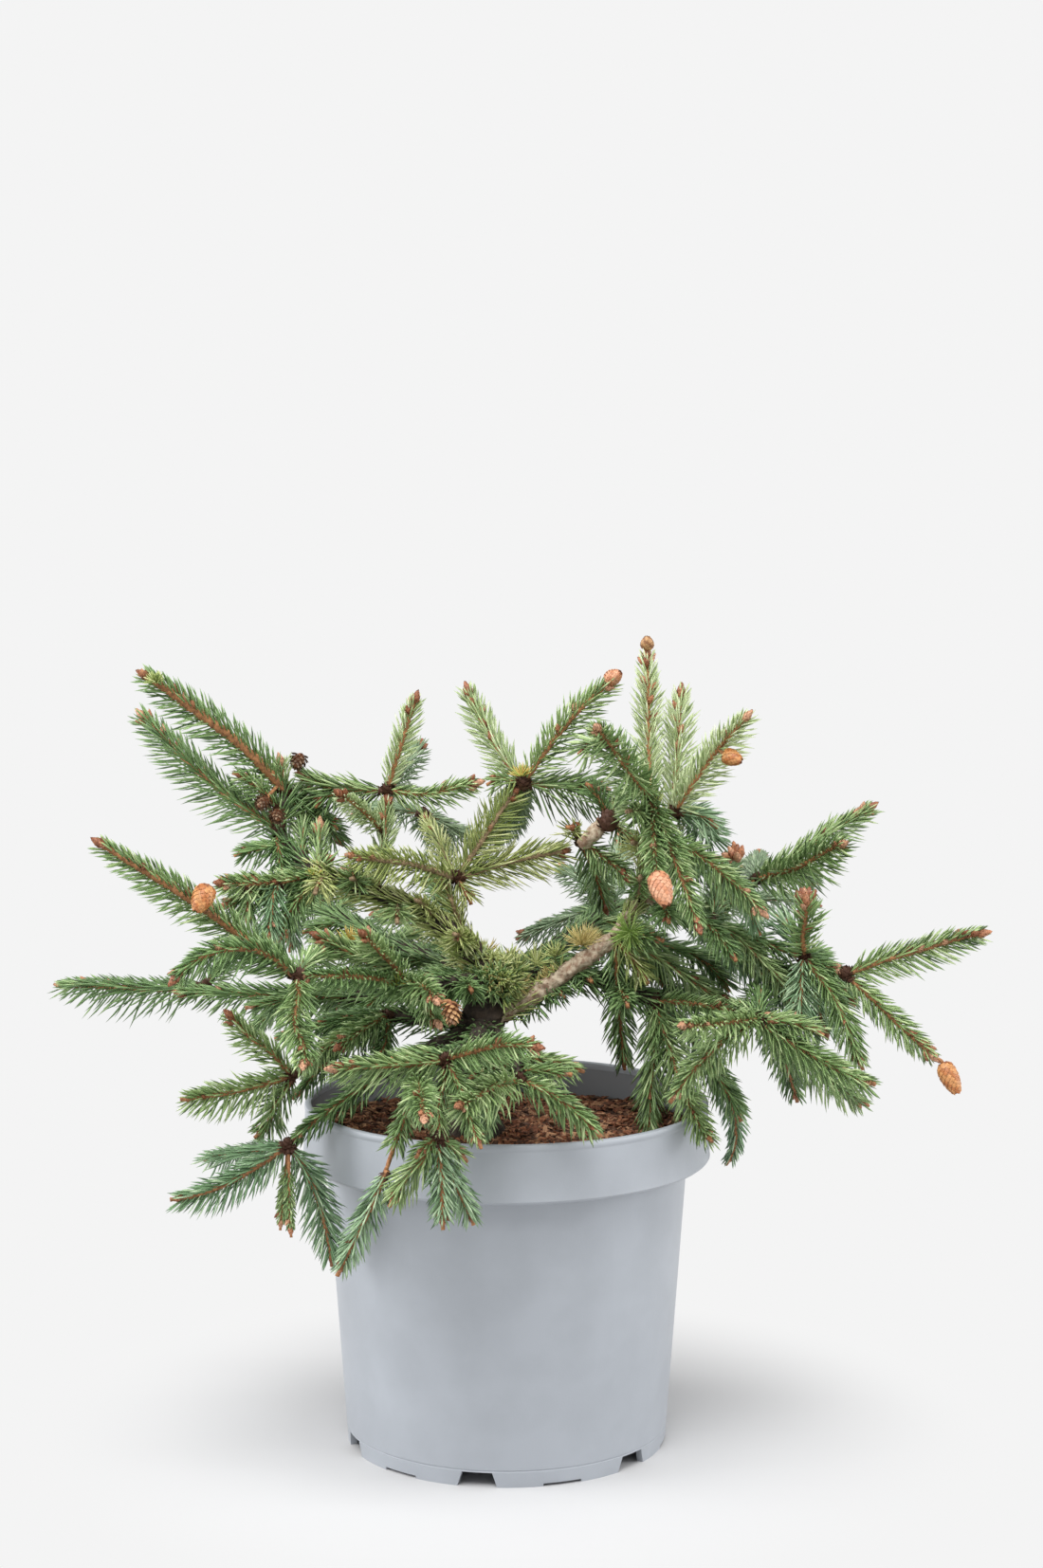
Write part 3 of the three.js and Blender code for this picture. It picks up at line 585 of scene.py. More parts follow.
class Piece:
    """Points and faces gathered for one joined mesh, in millimetres."""

    made = {}

    def __init__(self, name, slot, *finish):
        self.name, self.slot, self.finish = name, slot, material(name, *finish)
        self.points, self.faces, self.count, self.nodes = [], [], 0, set()
        Piece.made[name] = self

    def add(self, points, *faces):
        points = np.asarray(points, float).reshape(-1, 3)
        self.points.append(points)
        self.faces += [np.asarray(f) + self.count for f in faces]
        self.count += len(points)

    def add_each(self, corners, *faces):
        """Many bodies alike, given as the first corners of all of them, the second ones and so on."""
        start = len(corners) * np.arange(len(corners[0]))[:, None, None]
        self.add(np.stack(corners, 1), *((f + start).reshape(-1, f.shape[1]) for f in faces))

    def build(self, smooth=True, sharp=None):
        """The Blender object, on the root body; the nodes that it replaces are hidden."""
        mesh = bpy.data.meshes.new(self.name)
        points = np.concatenate(self.points) * MM
        mesh.from_pydata(points.tolist(), [], [corners for f in self.faces for corners in f.tolist()])
        mesh.validate()
        mesh.polygons.foreach_set("use_smooth", np.full(len(mesh.polygons), smooth))
        if sharp:
            mesh.set_sharp_from_angle(angle=radians(sharp))
        mesh.materials.append(self.finish)
        made = put_in_scene(self.name, mesh)
        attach(made, "root")
        if self.nodes:
            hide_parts(*sorted(self.nodes))


class Axis:
    """A line through space that knows ahead, side and up at each of its points."""

    def __init__(self, points):
        self.at = np.asarray(points, float)
        self.along = np.concatenate([[0], np.cumsum(np.linalg.norm(np.diff(self.at, axis=0), axis=1))])
        self.length = self.along[-1]
        self.ahead = unit(np.gradient(self.at, axis=0))
        chord = self.at[-1] - self.at[0]
        side = np.array([-chord[1], chord[0], 0.0])
        if np.linalg.norm(side) < 1:
            side = np.array([0.0, 1.0, 0.0])
        self.up = unit(np.cross(self.ahead, unit(side)))
        self.side = np.cross(self.up, self.ahead)

    def frame(self, s):
        """Places, ahead, side and up at some lengths along it."""

        def pick(rows):
            return np.stack([np.interp(s, self.along, rows[:, k]) for k in range(3)], -1)

        return pick(self.at), unit(pick(self.ahead)), unit(pick(self.side)), unit(pick(self.up))

    def spot(self, s):
        """Place, ahead, side and up at one length along it."""
        return [v[0] for v in self.frame(np.array([s]))]


def spline(points):
    """A smooth curve through all the points, as centripetal Catmull-Rom."""
    p = [np.asarray(q, float) for q in points]
    p = [2 * p[0] - p[1], *p, 2 * p[-1] - p[-2]]
    out = []
    for a, b, c, d in zip(p, p[1:], p[2:], p[3:]):
        da, db, dc = (max(np.linalg.norm(y - x) ** 0.5, 1e-3) for x, y in ((a, b), (b, c), (c, d)))
        m0 = ((b - a) / da - (c - a) / (da + db) + (c - b) / db) * db
        m1 = ((c - b) / db - (d - b) / (db + dc) + (d - c) / dc) * db
        for t in np.linspace(0, 1, SPLINE_STEPS, endpoint=False):
            h = (2 * t**3 - 3 * t**2 + 1, t**3 - 2 * t**2 + t, -2 * t**3 + 3 * t**2, t**3 - t**2)
            out.append(h[0] * b + h[1] * m0 + h[2] * c + h[3] * m1)
    return np.array([*out, p[-2]])


def through(*forks):
    """The axis that runs through some forks."""
    return Axis(spline([FORKS[name] for name in forks]))


def tube(piece, axis, radius, sides):
    """A closed tube; `radius` has a row for each ring, and may have a column for each side."""
    radius = np.asarray(radius, float)
    rings = len(radius)
    if radius.ndim == 1:
        radius = radius[:, None] * np.ones(sides)
    at, _, side, up = axis.frame(np.linspace(0, axis.length, rings))
    out = between(circle(sides), side[:, None], up[:, None])
    piece.add(at[:, None] + out * radius[..., None], net(rings, sides), caps(rings, sides))


def turned(profile, turns):
    """A closed turned body; `profile` is radius and height, from pole to pole."""
    r, z = np.array(profile[1:-1], float).T
    n = len(turns)
    wall = np.stack([r[:, None] * np.cos(turns), r[:, None] * np.sin(turns), z[:, None] + 0 * turns], -1)
    points = np.concatenate([wall.reshape(-1, 3), [(0, 0, profile[0][1]), (0, 0, profile[-1][1])]])
    j, k = np.arange(n), (np.arange(n) + 1) % n
    pole, last = len(r) * n, (len(r) - 1) * n
    low = np.stack([0 * j + pole, k, j], -1)
    high = np.stack([0 * j + pole + 1, last + j, last + k], -1)
    return points, net(len(r), n), np.concatenate([low, high])


# ---- needles, scales, buds and cones
# A needle is a three-sided spike: two rings, at shares of its length and of its width, and a tip.
NEEDLE_RINGS = ((0.0, 0.8), (0.7, 0.96))
NEEDLE_CORNERS = (pi / 2, pi * 7 / 6, pi * 11 / 6)
NEEDLE_RADIUS = 0.56  # as a share of its width
NEEDLE_QUADS = net(2, 3)
NEEDLE_TIP = np.array([(3, 4, 6), (4, 5, 6), (5, 3, 6)])
# A scale is a tongue of six points: two at its foot, two at its waist, one on its ridge and its tip.
SCALE_FACES = np.array([(0, 1, 4), (0, 4, 2), (1, 3, 4), (2, 4, 5), (4, 3, 5)])
SCALE_FOOT, SCALE_WAIST, SCALE_WAIST_AT = 0.3, 0.5, 0.55  # half widths, and how far along the waist is
SCALE_EDGE, SCALE_RIDGE, SCALE_TIP = 0.1, 0.14, 0.05  # how far these dip or stand out, as shares of its width
# The outlines of buds and cones: the share of a half turn where they start, their skew and their bluntness.
EGGS = {"bud": (0.14, 0.72, 0.85), "cone": (0.1, 0.84, 0.62)}
EGG_SPAN = 0.86  # the share of a half turn that they take
CORE_SHARE, SCALE_SEAT = 0.86, 0.84  # of the outline's radius, for the core and the scales' feet
EGG_RINGS, EGG_SIDES = 6, 8


def add_needles(piece, at, out, ahead, length, width, bend):
    """Pointed needles from `at` along `out`, bending towards `ahead`."""
    if not len(at):
        return
    across = unit(np.cross(out, ahead))
    lift = np.cross(across, out)
    length, width, bend = (np.broadcast_to(v, len(at))[:, None] for v in (length, width, bend))
    rings = []
    for share, wide in NEEDLE_RINGS:
        centre = at + out * length * share + lift * length * bend * share**2
        for turn in NEEDLE_CORNERS:
            corner = across * np.cos(turn) + lift * np.sin(turn)
            rings.append(centre + corner * width * wide * NEEDLE_RADIUS)
    rings.append(at + out * length + lift * length * bend)
    piece.add_each(rings, NEEDLE_QUADS, NEEDLE_TIP)


def add_scales(piece, root, out, ahead, length, width, lean):
    """Small cupped tongues from `root` along `ahead`, leaning to `out`."""
    across = unit(np.cross(ahead, out))
    length, width, lean = (np.broadcast_to(v, len(root))[:, None] for v in (length, width, lean))
    along = ahead * np.cos(lean) + out * np.sin(lean)
    face = out * np.cos(lean) - ahead * np.sin(lean)
    middle = root + along * length * SCALE_WAIST_AT
    points = [
        root - across * width * SCALE_FOOT,
        root + across * width * SCALE_FOOT,
        middle - across * width * SCALE_WAIST - face * width * SCALE_EDGE,
        middle + across * width * SCALE_WAIST - face * width * SCALE_EDGE,
        middle + face * width * SCALE_RIDGE,
        root + along * length - face * width * SCALE_TIP,
    ]
    piece.add_each(points, SCALE_FACES)


def add_scaly(pieces, core, at, ahead, length, width, count, egg, reach, lean, turn0, broad=1.02):
    """A bud or cone: an egg-shaped core under scales in a spiral, of one or two pieces' tints."""
    ahead, side, up = basis(ahead)
    start, skew, blunt = EGGS[egg]

    def radius(t):
        return width / 2 * np.sin(pi * np.clip(start + EGG_SPAN * t, 0, 1) ** skew) ** blunt

    t = np.linspace(0, 0.97, EGG_RINGS)
    around = between(circle(EGG_SIDES), side, up)
    skin = at + ahead * (t * length)[:, None, None] + around[None] * (radius(t) * CORE_SHARE)[:, None, None]
    core.add(skin, net(EGG_RINGS, EGG_SIDES), caps(EGG_RINGS, EGG_SIDES))
    k = np.arange(count)
    t = (k + 0.5) / count * 0.88
    out = between(k * GOLDEN + turn0, side, up)
    root = at + ahead * (t * length)[:, None] + out * (radius(t) * SCALE_SEAT)[:, None]
    size = reach * (1.05 - 0.35 * t)
    slope = (radius(t + 0.06) - radius(t - 0.02)) / (0.08 * length)
    lean = lean + np.arctan(slope) * 0.8
    along = np.broadcast_to(ahead, root.shape)
    for n, piece in enumerate(pieces):
        m = np.full(count, True) if len(pieces) == 1 else (np.sin(k * 7.3) > 0.25) == (n == 1)
        add_scales(piece, root[m], out[m], along[m], size[m], size[m] * broad, lean[m])


# ---- pieces
def pieces_of(name, slot, colours, roughness, grain=None, shade=None):
    """A piece for each colour, which wanders, given a grain, to a shade of it."""
    return [
        Piece(f"{name}_{i}", slot, (c, tuple(shade * v for v in c)) if grain else c, roughness, grain)
        for i, c in enumerate(colours)
    ]


BARK = {
    "old": Piece("bark_relief", "bark", COLOURS["bark_old"], 0.9, 260, 0.5, 900),
    "bare": Piece("bark_relief_bare", "bark", COLOURS["bark_bare"], 0.9, 320, 0.5, 1200),
}
TWIGS = {
    "young": Piece("twigs_young", "bark", COLOURS["twig_young"], 0.7, 500),
    "old": Piece("twigs_old", "bark", COLOURS["twig_old"], 0.8, 500),
}
BUDS = pieces_of("buds", "bark", COLOURS["buds"], 0.55, 900, 0.72)
COLLARS = Piece("bud_scale_collars", "bark", COLOURS["collars"], 0.7)
CONES = {tint: pieces_of("cones_" + tint, "bark", pair, 0.5, 700, 0.82) for tint, pair in CONE_TINTS.items()}
CONE_CORE = Piece("cone_cores", "bark", COLOURS["cone_core"], 0.8)
NEEDLES = {tone: pieces_of("needles_" + tone, "needles", shades, 0.4) for tone, shades in TONES.items()}

# ---- shoots
# How needles stand, by their angle from the crest of the shoot: lean from the twig and length.
CREST_ANGLES = (0, 90, 135)
CREST_LEAN = (30, 45, 56)
CREST_REACH = (12.2, 15.6, 17.6)
ROUND_LEAN = 42  # on an upright shoot, where all sides are alike
ROUND_REACH = 14.0
DENSITY = 2.9  # needles per mm
NEEDLE_WIDTH = (1.0, 1.26)
LEAN_SPREAD, WAY_SPREAD, REACH_SPREAD = 0.085, 0.045, (0.86, 1.09)  # how single needles differ
OLIVE_WIDTH = 0.88  # old needles are narrower by this
TAPER = 0.4  # share of a shoot over which its needles grow shorter and closer towards the tip
LONG_BUD, BUD, SIDE_BUD = (8.0, 5.0), (6.0, 3.8), (6.0, 3.9)  # length and width
END_BUD_IN = 6.0  # how far the end bud and the last needle are from the axis's end
SMALL_BUDS, OLD_BUDS = 0.65, 0.8  # sizes of those of hanging and inner shoots, and of old shoots
HANGING_BELOW = 245
COLLAR_SCALES = 16
SHOOT_POINTS = 24
AXES = {}  # of the shoots, by mass and place in it


def point(spot):
    """A fork's place, or that of a share of a shoot's length."""
    if isinstance(spot, str):
        return np.array(FORKS[spot], float)
    mass, i, share = spot
    return AXES[mass, i].spot(AXES[mass, i].length * share)[0]


def shoots_of(mass):
    return [Shoot(fork, tone, *sizes) for fork, tone, *rows in FOLIAGE[mass] for sizes in rows]


def deal(rng, tone, count):
    """Which shade of its tone each needle of a spray takes: mostly the spray's own."""
    shades = len(TONES[tone])
    own = rng.integers(min(shades, 2))
    return np.where(rng.random(count) < 0.5, own, rng.integers(shades, size=count))


def clothe(axis, rng, tone, node, start, stop, girth, density, radius, tip=True, close=1.0, bare=-Z):
    """Needles round an axis: short and close on its crest, long and comb-like at the bare side."""
    count = int((stop - start) * density)
    if count < 3:
        return
    s = start + (np.arange(count) + rng.uniform(-0.3, 0.3, count)) / density
    at, ahead, _, up = axis.frame(s)
    crest = -bare + ahead * (ahead @ bare)[:, None]
    sided = np.clip(np.linalg.norm(crest, axis=1), 0, 1)[:, None]
    crest = unit(np.where(sided > 0.2, crest, up))
    flank = np.cross(crest, ahead)
    sided = sided[:, 0] ** 2
    turn = np.mod(GOLDEN * np.arange(count) + rng.uniform(0, 6), 2 * pi) - pi
    turn = np.sign(turn) * pi * (np.abs(turn) / pi) ** (1 - 0.1 * sided) * (1 - 0.13 * sided)
    turn = turn + rng.normal(0, 0.1, count)
    out = between(turn, crest, flank)
    away = np.degrees(np.abs(turn))
    lean = sided * np.interp(away, CREST_ANGLES, CREST_LEAN) + (1 - sided) * ROUND_LEAN
    reach = sided * np.interp(away, CREST_ANGLES, CREST_REACH) + (1 - sided) * ROUND_REACH
    drop = -out[:, 2] * np.sqrt(np.clip(1 - ahead[:, 2] ** 2, 0, 1))
    lean = np.radians(lean + 5 * drop) * close * rng.uniform(0.9, 1.1) + rng.normal(0, LEAN_SPREAD, count)
    reach *= girth * (1 + 0.1 * drop) * rng.uniform(*REACH_SPREAD, count)
    reach *= np.clip(0.6 + 0.4 * (s - start) / 7, 0, 1)
    if tip:
        near = np.clip((axis.length - s) / (TAPER * axis.length), 0, 1)
        reach *= 0.46 + 0.54 * near
        lean *= 0.62 + 0.38 * near
    direction = unit(between(lean, ahead, out) + rng.normal(0, WAY_SPREAD, (count, 3)))
    width = rng.uniform(*NEEDLE_WIDTH, count) * (OLIVE_WIDTH if tone == "olive" else 1.0)
    bend = rng.uniform(0.06, 0.14, count)
    root = at + out * radius * 0.7
    shade = deal(rng, tone, count)
    for i, piece in enumerate(NEEDLES[tone]):
        m = shade == i
        add_needles(piece, root[m], direction[m], ahead[m], reach[m], width[m], bend[m])
        if node:
            piece.nodes.add(node)


def add_bud(rng, at, ahead, size, plump=1.0):
    piece = BUDS[rng.integers(len(BUDS))]
    length, width = size[0] * plump, size[1] * plump
    add_scaly([piece], piece, at, ahead, length, width, 20, "bud", width * 0.6, 0.12, rng.uniform(0, 6))


def dress(
    axis, rng, tone, node, girth, density=DENSITY, old=False, buds=1, laterals=1,
    bare=-Z, bare_end=0.0, bare_foot=0.0, stout=1.0,
):
    """One shoot's twig, collar, needles and buds."""
    rings, sides = max(6, int(axis.length / 1.8)), 7
    t = np.linspace(0, 1, rings)
    thick = stout * (2.0 if old else 1.75) * min(1.0, 0.35 + 0.7 * girth) * (1 - 0.3 * t)
    rough = 1 + rng.normal(0, 0.12, (rings, sides))
    tube(TWIGS["old" if old else "young"], axis, thick[:, None] * rough, sides)
    start = 2.5 + bare_foot * axis.length
    stop = axis.length * (1 - bare_end) - (0 if bare_end else END_BUD_IN)
    clothe(axis, rng, tone, node, start, stop, girth, density, thick[0], not bare_end, bare=bare)
    at, ahead, side, up = axis.spot(axis.length)
    plump = (1.0 if at[2] > HANGING_BELOW and node else SMALL_BUDS) * (OLD_BUDS if old else 1.0)
    if buds:
        add_bud(rng, at - ahead * END_BUD_IN, ahead, LONG_BUD, plump)
        first = rng.uniform(0, 2 * pi)
        for n in range(buds):
            out = between(first + n * 2 * pi / buds + rng.normal(0, 0.3), side, up)
            way = between(rng.uniform(0.5, 0.9), ahead, out)
            add_bud(rng, at - ahead * rng.uniform(7, 10) + out * 1.2, way, BUD, plump)
    for n in range(laterals):
        s = axis.length * (0.42 + 0.48 * (n + rng.uniform(0.2, 0.8)) / laterals)
        at, ahead, side, up = axis.spot(s)
        out = between(pi / 2 + rng.choice((-1, 1)) * rng.uniform(0.1, 1.5), side, up)
        add_bud(rng, at + out * 1.2, unit(ahead * 0.7 + out * 0.7), SIDE_BUD, plump)
    turn = rng.uniform(0, 2 * pi, COLLAR_SCALES)
    at, ahead, side, up = axis.frame(rng.uniform(0.4, 3.6, COLLAR_SCALES))
    out = between(turn, side, up)
    lean = rng.uniform(0.2, 1.0, COLLAR_SCALES)
    add_scales(COLLARS, at + out * thick[0] * 0.9, out, ahead, 3.6, 2.6, lean)


def shoot_axis(row, rng):
    """The line of a shoot: a bend with a slight wave of its own."""
    foot = point(row.fork)
    tip = foot + heading_to(radians(row.heading), radians(row.rise)) * row.length
    middle = (foot + tip) / 2 + np.array([2.0 * row.bulge, 0, 2.0 * row.arch])
    t = np.linspace(0, 1, SHOOT_POINTS)[:, None]
    wave = np.sin(pi * t) * np.sin(2 * pi * t * rng.uniform(0.6, 1.3) + rng.uniform(0, 6))
    return Axis(bend_line(foot, middle, tip, SHOOT_POINTS) + wave * rng.normal(0, 1.0, 3))


def grow_foliage():
    for m, mass in enumerate(FOLIAGE):
        for i, row in enumerate(shoots_of(mass)):
            rng = np.random.default_rng([SEED, m, i])
            traits = {"laterals": int(row.length > 60), **SPECIAL.get((mass, i), {})}
            traits["buds"] = 0 if "bare_end" in traits else rng.integers(1, 3)
            faces_forward = point(row.fork)[1] < FRONT_HALF
            traits["bare"] = FORWARD if (mass, i) in PARTED else SLOPING if faces_forward else -Z
            traits["old"] = row.tone == "olive"
            AXES[mass, i] = shoot_axis(row, rng)
            dress(AXES[mass, i], rng, row.tone, "foliage_" + mass, row.girth, **traits)
    for i, (fork, *sizes, tone) in enumerate(SPRIGS):
        row = Shoot(fork, tone, *sizes)
        rng = np.random.default_rng([SEED, SPRIG_SEED, i])
        dress(shoot_axis(row, rng), rng, row.tone, None, row.girth)


# ---- wood
def relief(points, fine):
    """How far the bark stands out: flaky plates parted by narrow cracks."""
    heights = []
    for p in points.reshape(-1, 3):
        q = Vector(p) * fine
        near = noise.voronoi(q)[0]
        plate = min(1.0, (near[1] - near[0]) * 3.0)
        heights.append(plate + 0.9 * noise.fractal(q * 0.5, 0.7, 2.0, 3))
    return np.array(heights).reshape(points.shape[:-1])


def bark_tube(piece, axis, radius, sides, step, depth, fine):
    rings = max(8, int(axis.length / step))
    t = np.linspace(0, 1, rings)
    at, _, side, up = axis.frame(t * axis.length)
    around = circle(sides)
    base = radius(t[:, None], around[None, :])
    skin = at[:, None] + between(around, side[:, None], up[:, None]) * base[..., None]
    tube(piece, axis, base + depth * (relief(skin, fine) - 0.6), sides)


def grow_trunk():
    shares, sizes = [s for _, s in TRUNK], [r for r, _ in TRUNK]

    def radius(t, turn):
        flare = np.clip(1 - t / 0.25, 0, 1)
        return np.interp(t, shares, sizes) * (1 + 0.12 * np.cos(5 * turn) * flare)

    bark_tube(BARK["old"], through("foot", "waist", "neck", "head"), radius, 56, 1.3, 1.5, 0.22)
    BARK["old"].nodes.add("trunk")


def grow_boughs():
    for i, (name, (forks, foot, end, clothed)) in enumerate(BOUGHS.items()):
        rng = np.random.default_rng([SEED, BOUGH_SEED, i])
        axis = through(*forks)
        piece = BARK["bare" if name in BARE_BOUGHS else "old"]

        def radius(t, turn, foot=foot, end=end, i=i):
            lumps = 1 + 0.07 * np.sin(t * 19 + i) + 0.05 * np.cos(2 * turn + 9 * t)
            return (foot + (end - foot) * t) * lumps * np.where(t > 0.97, 0.8, 1)

        bark_tube(piece, axis, radius, 26, 1.5, 1.1 if clothed else 1.3, 0.34)
        piece.nodes.add(name)
        if clothed:
            # boughs that are not olive are clothed in deep, the darker green of painted shade
            tone = "olive" if name in OLIVE_BOUGHS else "deep"
            girth = 0.62 if name == "bough_mid" else 1.0
            clothe(axis, rng, tone, None, 6, axis.length, girth, 3.8 * clothed, foot * 0.9, False, 0.75)
            grow_side_shoots(axis, rng, tone, FIRST_SIDE_SHOOT.get(name, 0))
        else:
            clothe(axis, rng, "olive", None, 4, axis.length * 0.4, 0.85, 1.7, foot * 0.9, False, 0.5)
            fringe(axis, rng)


def fringe(axis, rng):
    """Tufts of needles under a bare bough, and old ones on top of its first part."""
    for s in np.arange(22, axis.length * 0.8, 2.5):
        at, ahead, _, _ = axis.spot(s)
        # the tufts under the bough take deep, a darker green that paints the shade under it
        add_tuft(rng, at - Z * 4.5, "deep", 5, 14, ahead * 0.6 - Z, 1.2)
        if s < axis.length * 0.6:
            add_tuft(rng, at + Z * 4, rng.choice(("olive", "olive", "dry")), 6, 9, Z - ahead * 0.3, 1.2)


def in_sky(p):
    """Whether a point is in one of the photo's gaps between boughs."""
    x, y, z = (np.asarray(p) * MM) - CAMERA_PLACE
    depth = y * np.cos(CAMERA_DIP) - z * np.sin(CAMERA_DIP)
    up = y * np.sin(CAMERA_DIP) + z * np.cos(CAMERA_DIP)
    u, v = PHOTO_CENTRE[0] + CAMERA_FOCUS * x / depth, PHOTO_CENTRE[1] - CAMERA_FOCUS * up / depth
    return any(
        left - SKY_MARGIN < u < right + SKY_MARGIN and top - SKY_MARGIN < v < bottom + SKY_MARGIN
        for left, right, top, bottom in SKY
    )


def grow_side_shoots(axis, rng, tone, first):
    """Short shoots to both sides of a bough, but for where the photo shows sky."""
    hand = rng.choice((-1, 1))
    for s in np.arange(14 + first, axis.length - 4, 13.0):
        hand = -hand
        at, ahead, side, _ = axis.spot(s)
        turn = radians(rng.uniform(42, 72)) * hand
        way = unit(ahead * np.cos(turn) + side * np.sin(turn) + Z * rng.uniform(-0.35, 0.3))
        tip = at + way * rng.uniform(26, 44) - Z * 3
        if in_sky(tip) or in_sky((at + tip) / 2):
            continue
        line = bend_line(at, (at + tip) / 2 + Z * rng.uniform(2, 6), tip, 10)
        shoot_tone = "young" if rng.random() < 0.3 else tone
        dress(Axis(line), rng, shoot_tone, None, 0.9, 3.0, tone == "olive", 1, 0)


# ---- tufts, knots, clusters and cones
def add_tuft(rng, at, tone, count, length, way, width):
    """A rosette of needles springing from one spot."""
    way, side, up = basis(way)
    lean = np.arccos(rng.uniform(0.1, 1, count))
    out = between(rng.uniform(0, 2 * pi, count), side, up)
    direction = between(lean, way, out)
    shade = deal(rng, tone, count)
    for i, piece in enumerate(NEEDLES[tone]):
        m = shade == i
        n = int(m.sum())
        bend = rng.uniform(0, 0.3, n)
        reach = length * rng.uniform(0.7, 1.1, n)
        root = np.array(at) + direction[m] * 1.0
        add_needles(piece, root, direction[m], np.broadcast_to(way, (n, 3)), reach, width, bend)


def add_knots(rng):
    """Knots of old bud scales at the forks."""
    springing = [row.fork for mass in FOLIAGE for row in shoots_of(mass)]
    for fork in sorted(set(springing)):
        if springing.count(fork) > 1 or fork in LONE_KNOTS:
            size = KNOT_SIZES.get(fork, KNOT_SIZE)
            at = point(fork) - Z * size * 0.45 - (MID_KNOT_BACK if fork == "mid_knot" else 0)
            add_scaly([COLLARS], COLLARS, at, Z, size, size, 30, "cone", 4.0, 0.5, rng.uniform(0, 6))


def stalk(owner, place):
    """A short twig from a shoot to what it carries."""
    line = np.linspace(point(owner), place, 6)
    line[1:-1] += Z * 0.8
    tube(TWIGS["young"], Axis(line), np.full(6, 1.1), 6)


def add_clusters(rng):
    for owner, at, way in CLUSTERS:
        stalk(owner, at)
        way, side, up = basis(way)
        for turn in np.arange(7) * GOLDEN:
            out = between(turn, side, up)
            foot = np.array(at) + out * rng.uniform(0.5, 4.5)
            add_bud(rng, foot, way + out * rng.uniform(0.2, 1.1), (7.5, 5.0))


def add_moss(rng):
    """Short old needles all round the head of the trunk, and at the front of its neck."""
    head, neck = point("head"), point("neck")
    for _ in range(70):
        turn, rise = rng.uniform(0, 2 * pi), rng.uniform(-0.15, 1.3)
        way = heading_to(turn, rise)
        tone = rng.choice(("olive", "olive", "light", "dry"))
        add_tuft(rng, head + way * rng.uniform(12, 19), tone, 14, rng.uniform(6, 11), way, 0.9)
    for _ in range(60):
        turn, share = rng.uniform(-pi, 0.2), rng.uniform(0.75, 1.15)
        way = np.array([np.cos(turn), np.sin(turn), rng.uniform(-0.15, 0.5)])
        tone = rng.choice(("olive", "olive", "deep", "young"))
        at = neck + (head - neck) * share + way * rng.uniform(10, 15)
        add_tuft(rng, at, tone, 12, rng.uniform(8, 13), unit(way), 1.1)


def grow_details():
    rng = np.random.default_rng([SEED, DETAIL_SEED])
    for at, tone, count, length, way in TUFTS:
        add_tuft(rng, at, tone, count, length, way, 0.6 if tone == "dry" else 0.8)
    add_knots(rng)
    add_clusters(rng)
    stem = Axis(spline([point("mid_arm"), point("mid_knot")]) - [0, 8, 0])
    bark_tube(BARK["bare"], stem, lambda t, turn: 4.3 + 0.4 * np.cos(2 * turn + 7 * t), 18, 1.3, 0.9, 0.4)
    add_moss(rng)


def grow_cones():
    for i, (owner, at, way, length, width, tint) in enumerate(CONES_AT):
        stalk(owner, at)
        old = tint in ("old", "open")
        count, lean, broad = (46, 0.75, 0.8) if old else (95, 0.24, 0.96)
        reach = width * (0.42 if old else 0.34)
        at = np.array(at, float)
        add_scaly(CONES[tint], CONE_CORE, at, way, length, width, count, "cone", reach, lean, i, broad)


# ---- pot and soil
def pot_radius(z):
    """Outside radius of the pot's body, or of its collar."""
    (_, r0), (z1, r1), (z2, r2), (z3, r3) = POT_WALL
    return r0 + (r1 - r0) * z / z1 if z <= z1 else r2 + (r3 - r2) * (z - z2) / (z3 - z2)


def pot_profile():
    """The pot's outline, from the middle underneath round the rim to the middle of its floor."""
    foot, neck, collar, rim = (r for _, r in POT_WALL)
    top, step = POT_WALL[-1][0], POT_WALL[1][0]

    def on(z, inwards=0.0):
        return pot_radius(z) - inwards, z

    return [
        (0, POT_FLOOR),
        (60, POT_FLOOR),
        (foot - 4.6, POT_FLOOR),
        (foot - FOOT_RING, POT_FLOOR - 0.6),
        (foot - FOOT_RING, 0),
        (foot, 0),
        *(on(9.4), on(9.7, 0.35), on(10.3, 0.35)),
        *(on(z) for z in (10.6, 40, 80, 120, 160, step - 1.2)),
        (neck + 0.5, step - 0.3),
        (neck + 1.4, step),
        (collar - 2.2, step + 0.1),
        (collar - 0.5, step + 1.3),
        (collar, step + 2.2),
        *(on(z) for z in (step + 3, 190, top - 4.6, top - 4)),
        *((rim + out, top - down) for out, down in RIM_ROLL),
        *(on(z, POT_THICK) for z in (190, step + 5)),
        (neck - POT_THICK, step - 3),
        *(on(z, POT_THICK) for z in (90, 16)),
        on(13, 5),
        (0, 13),
    ]


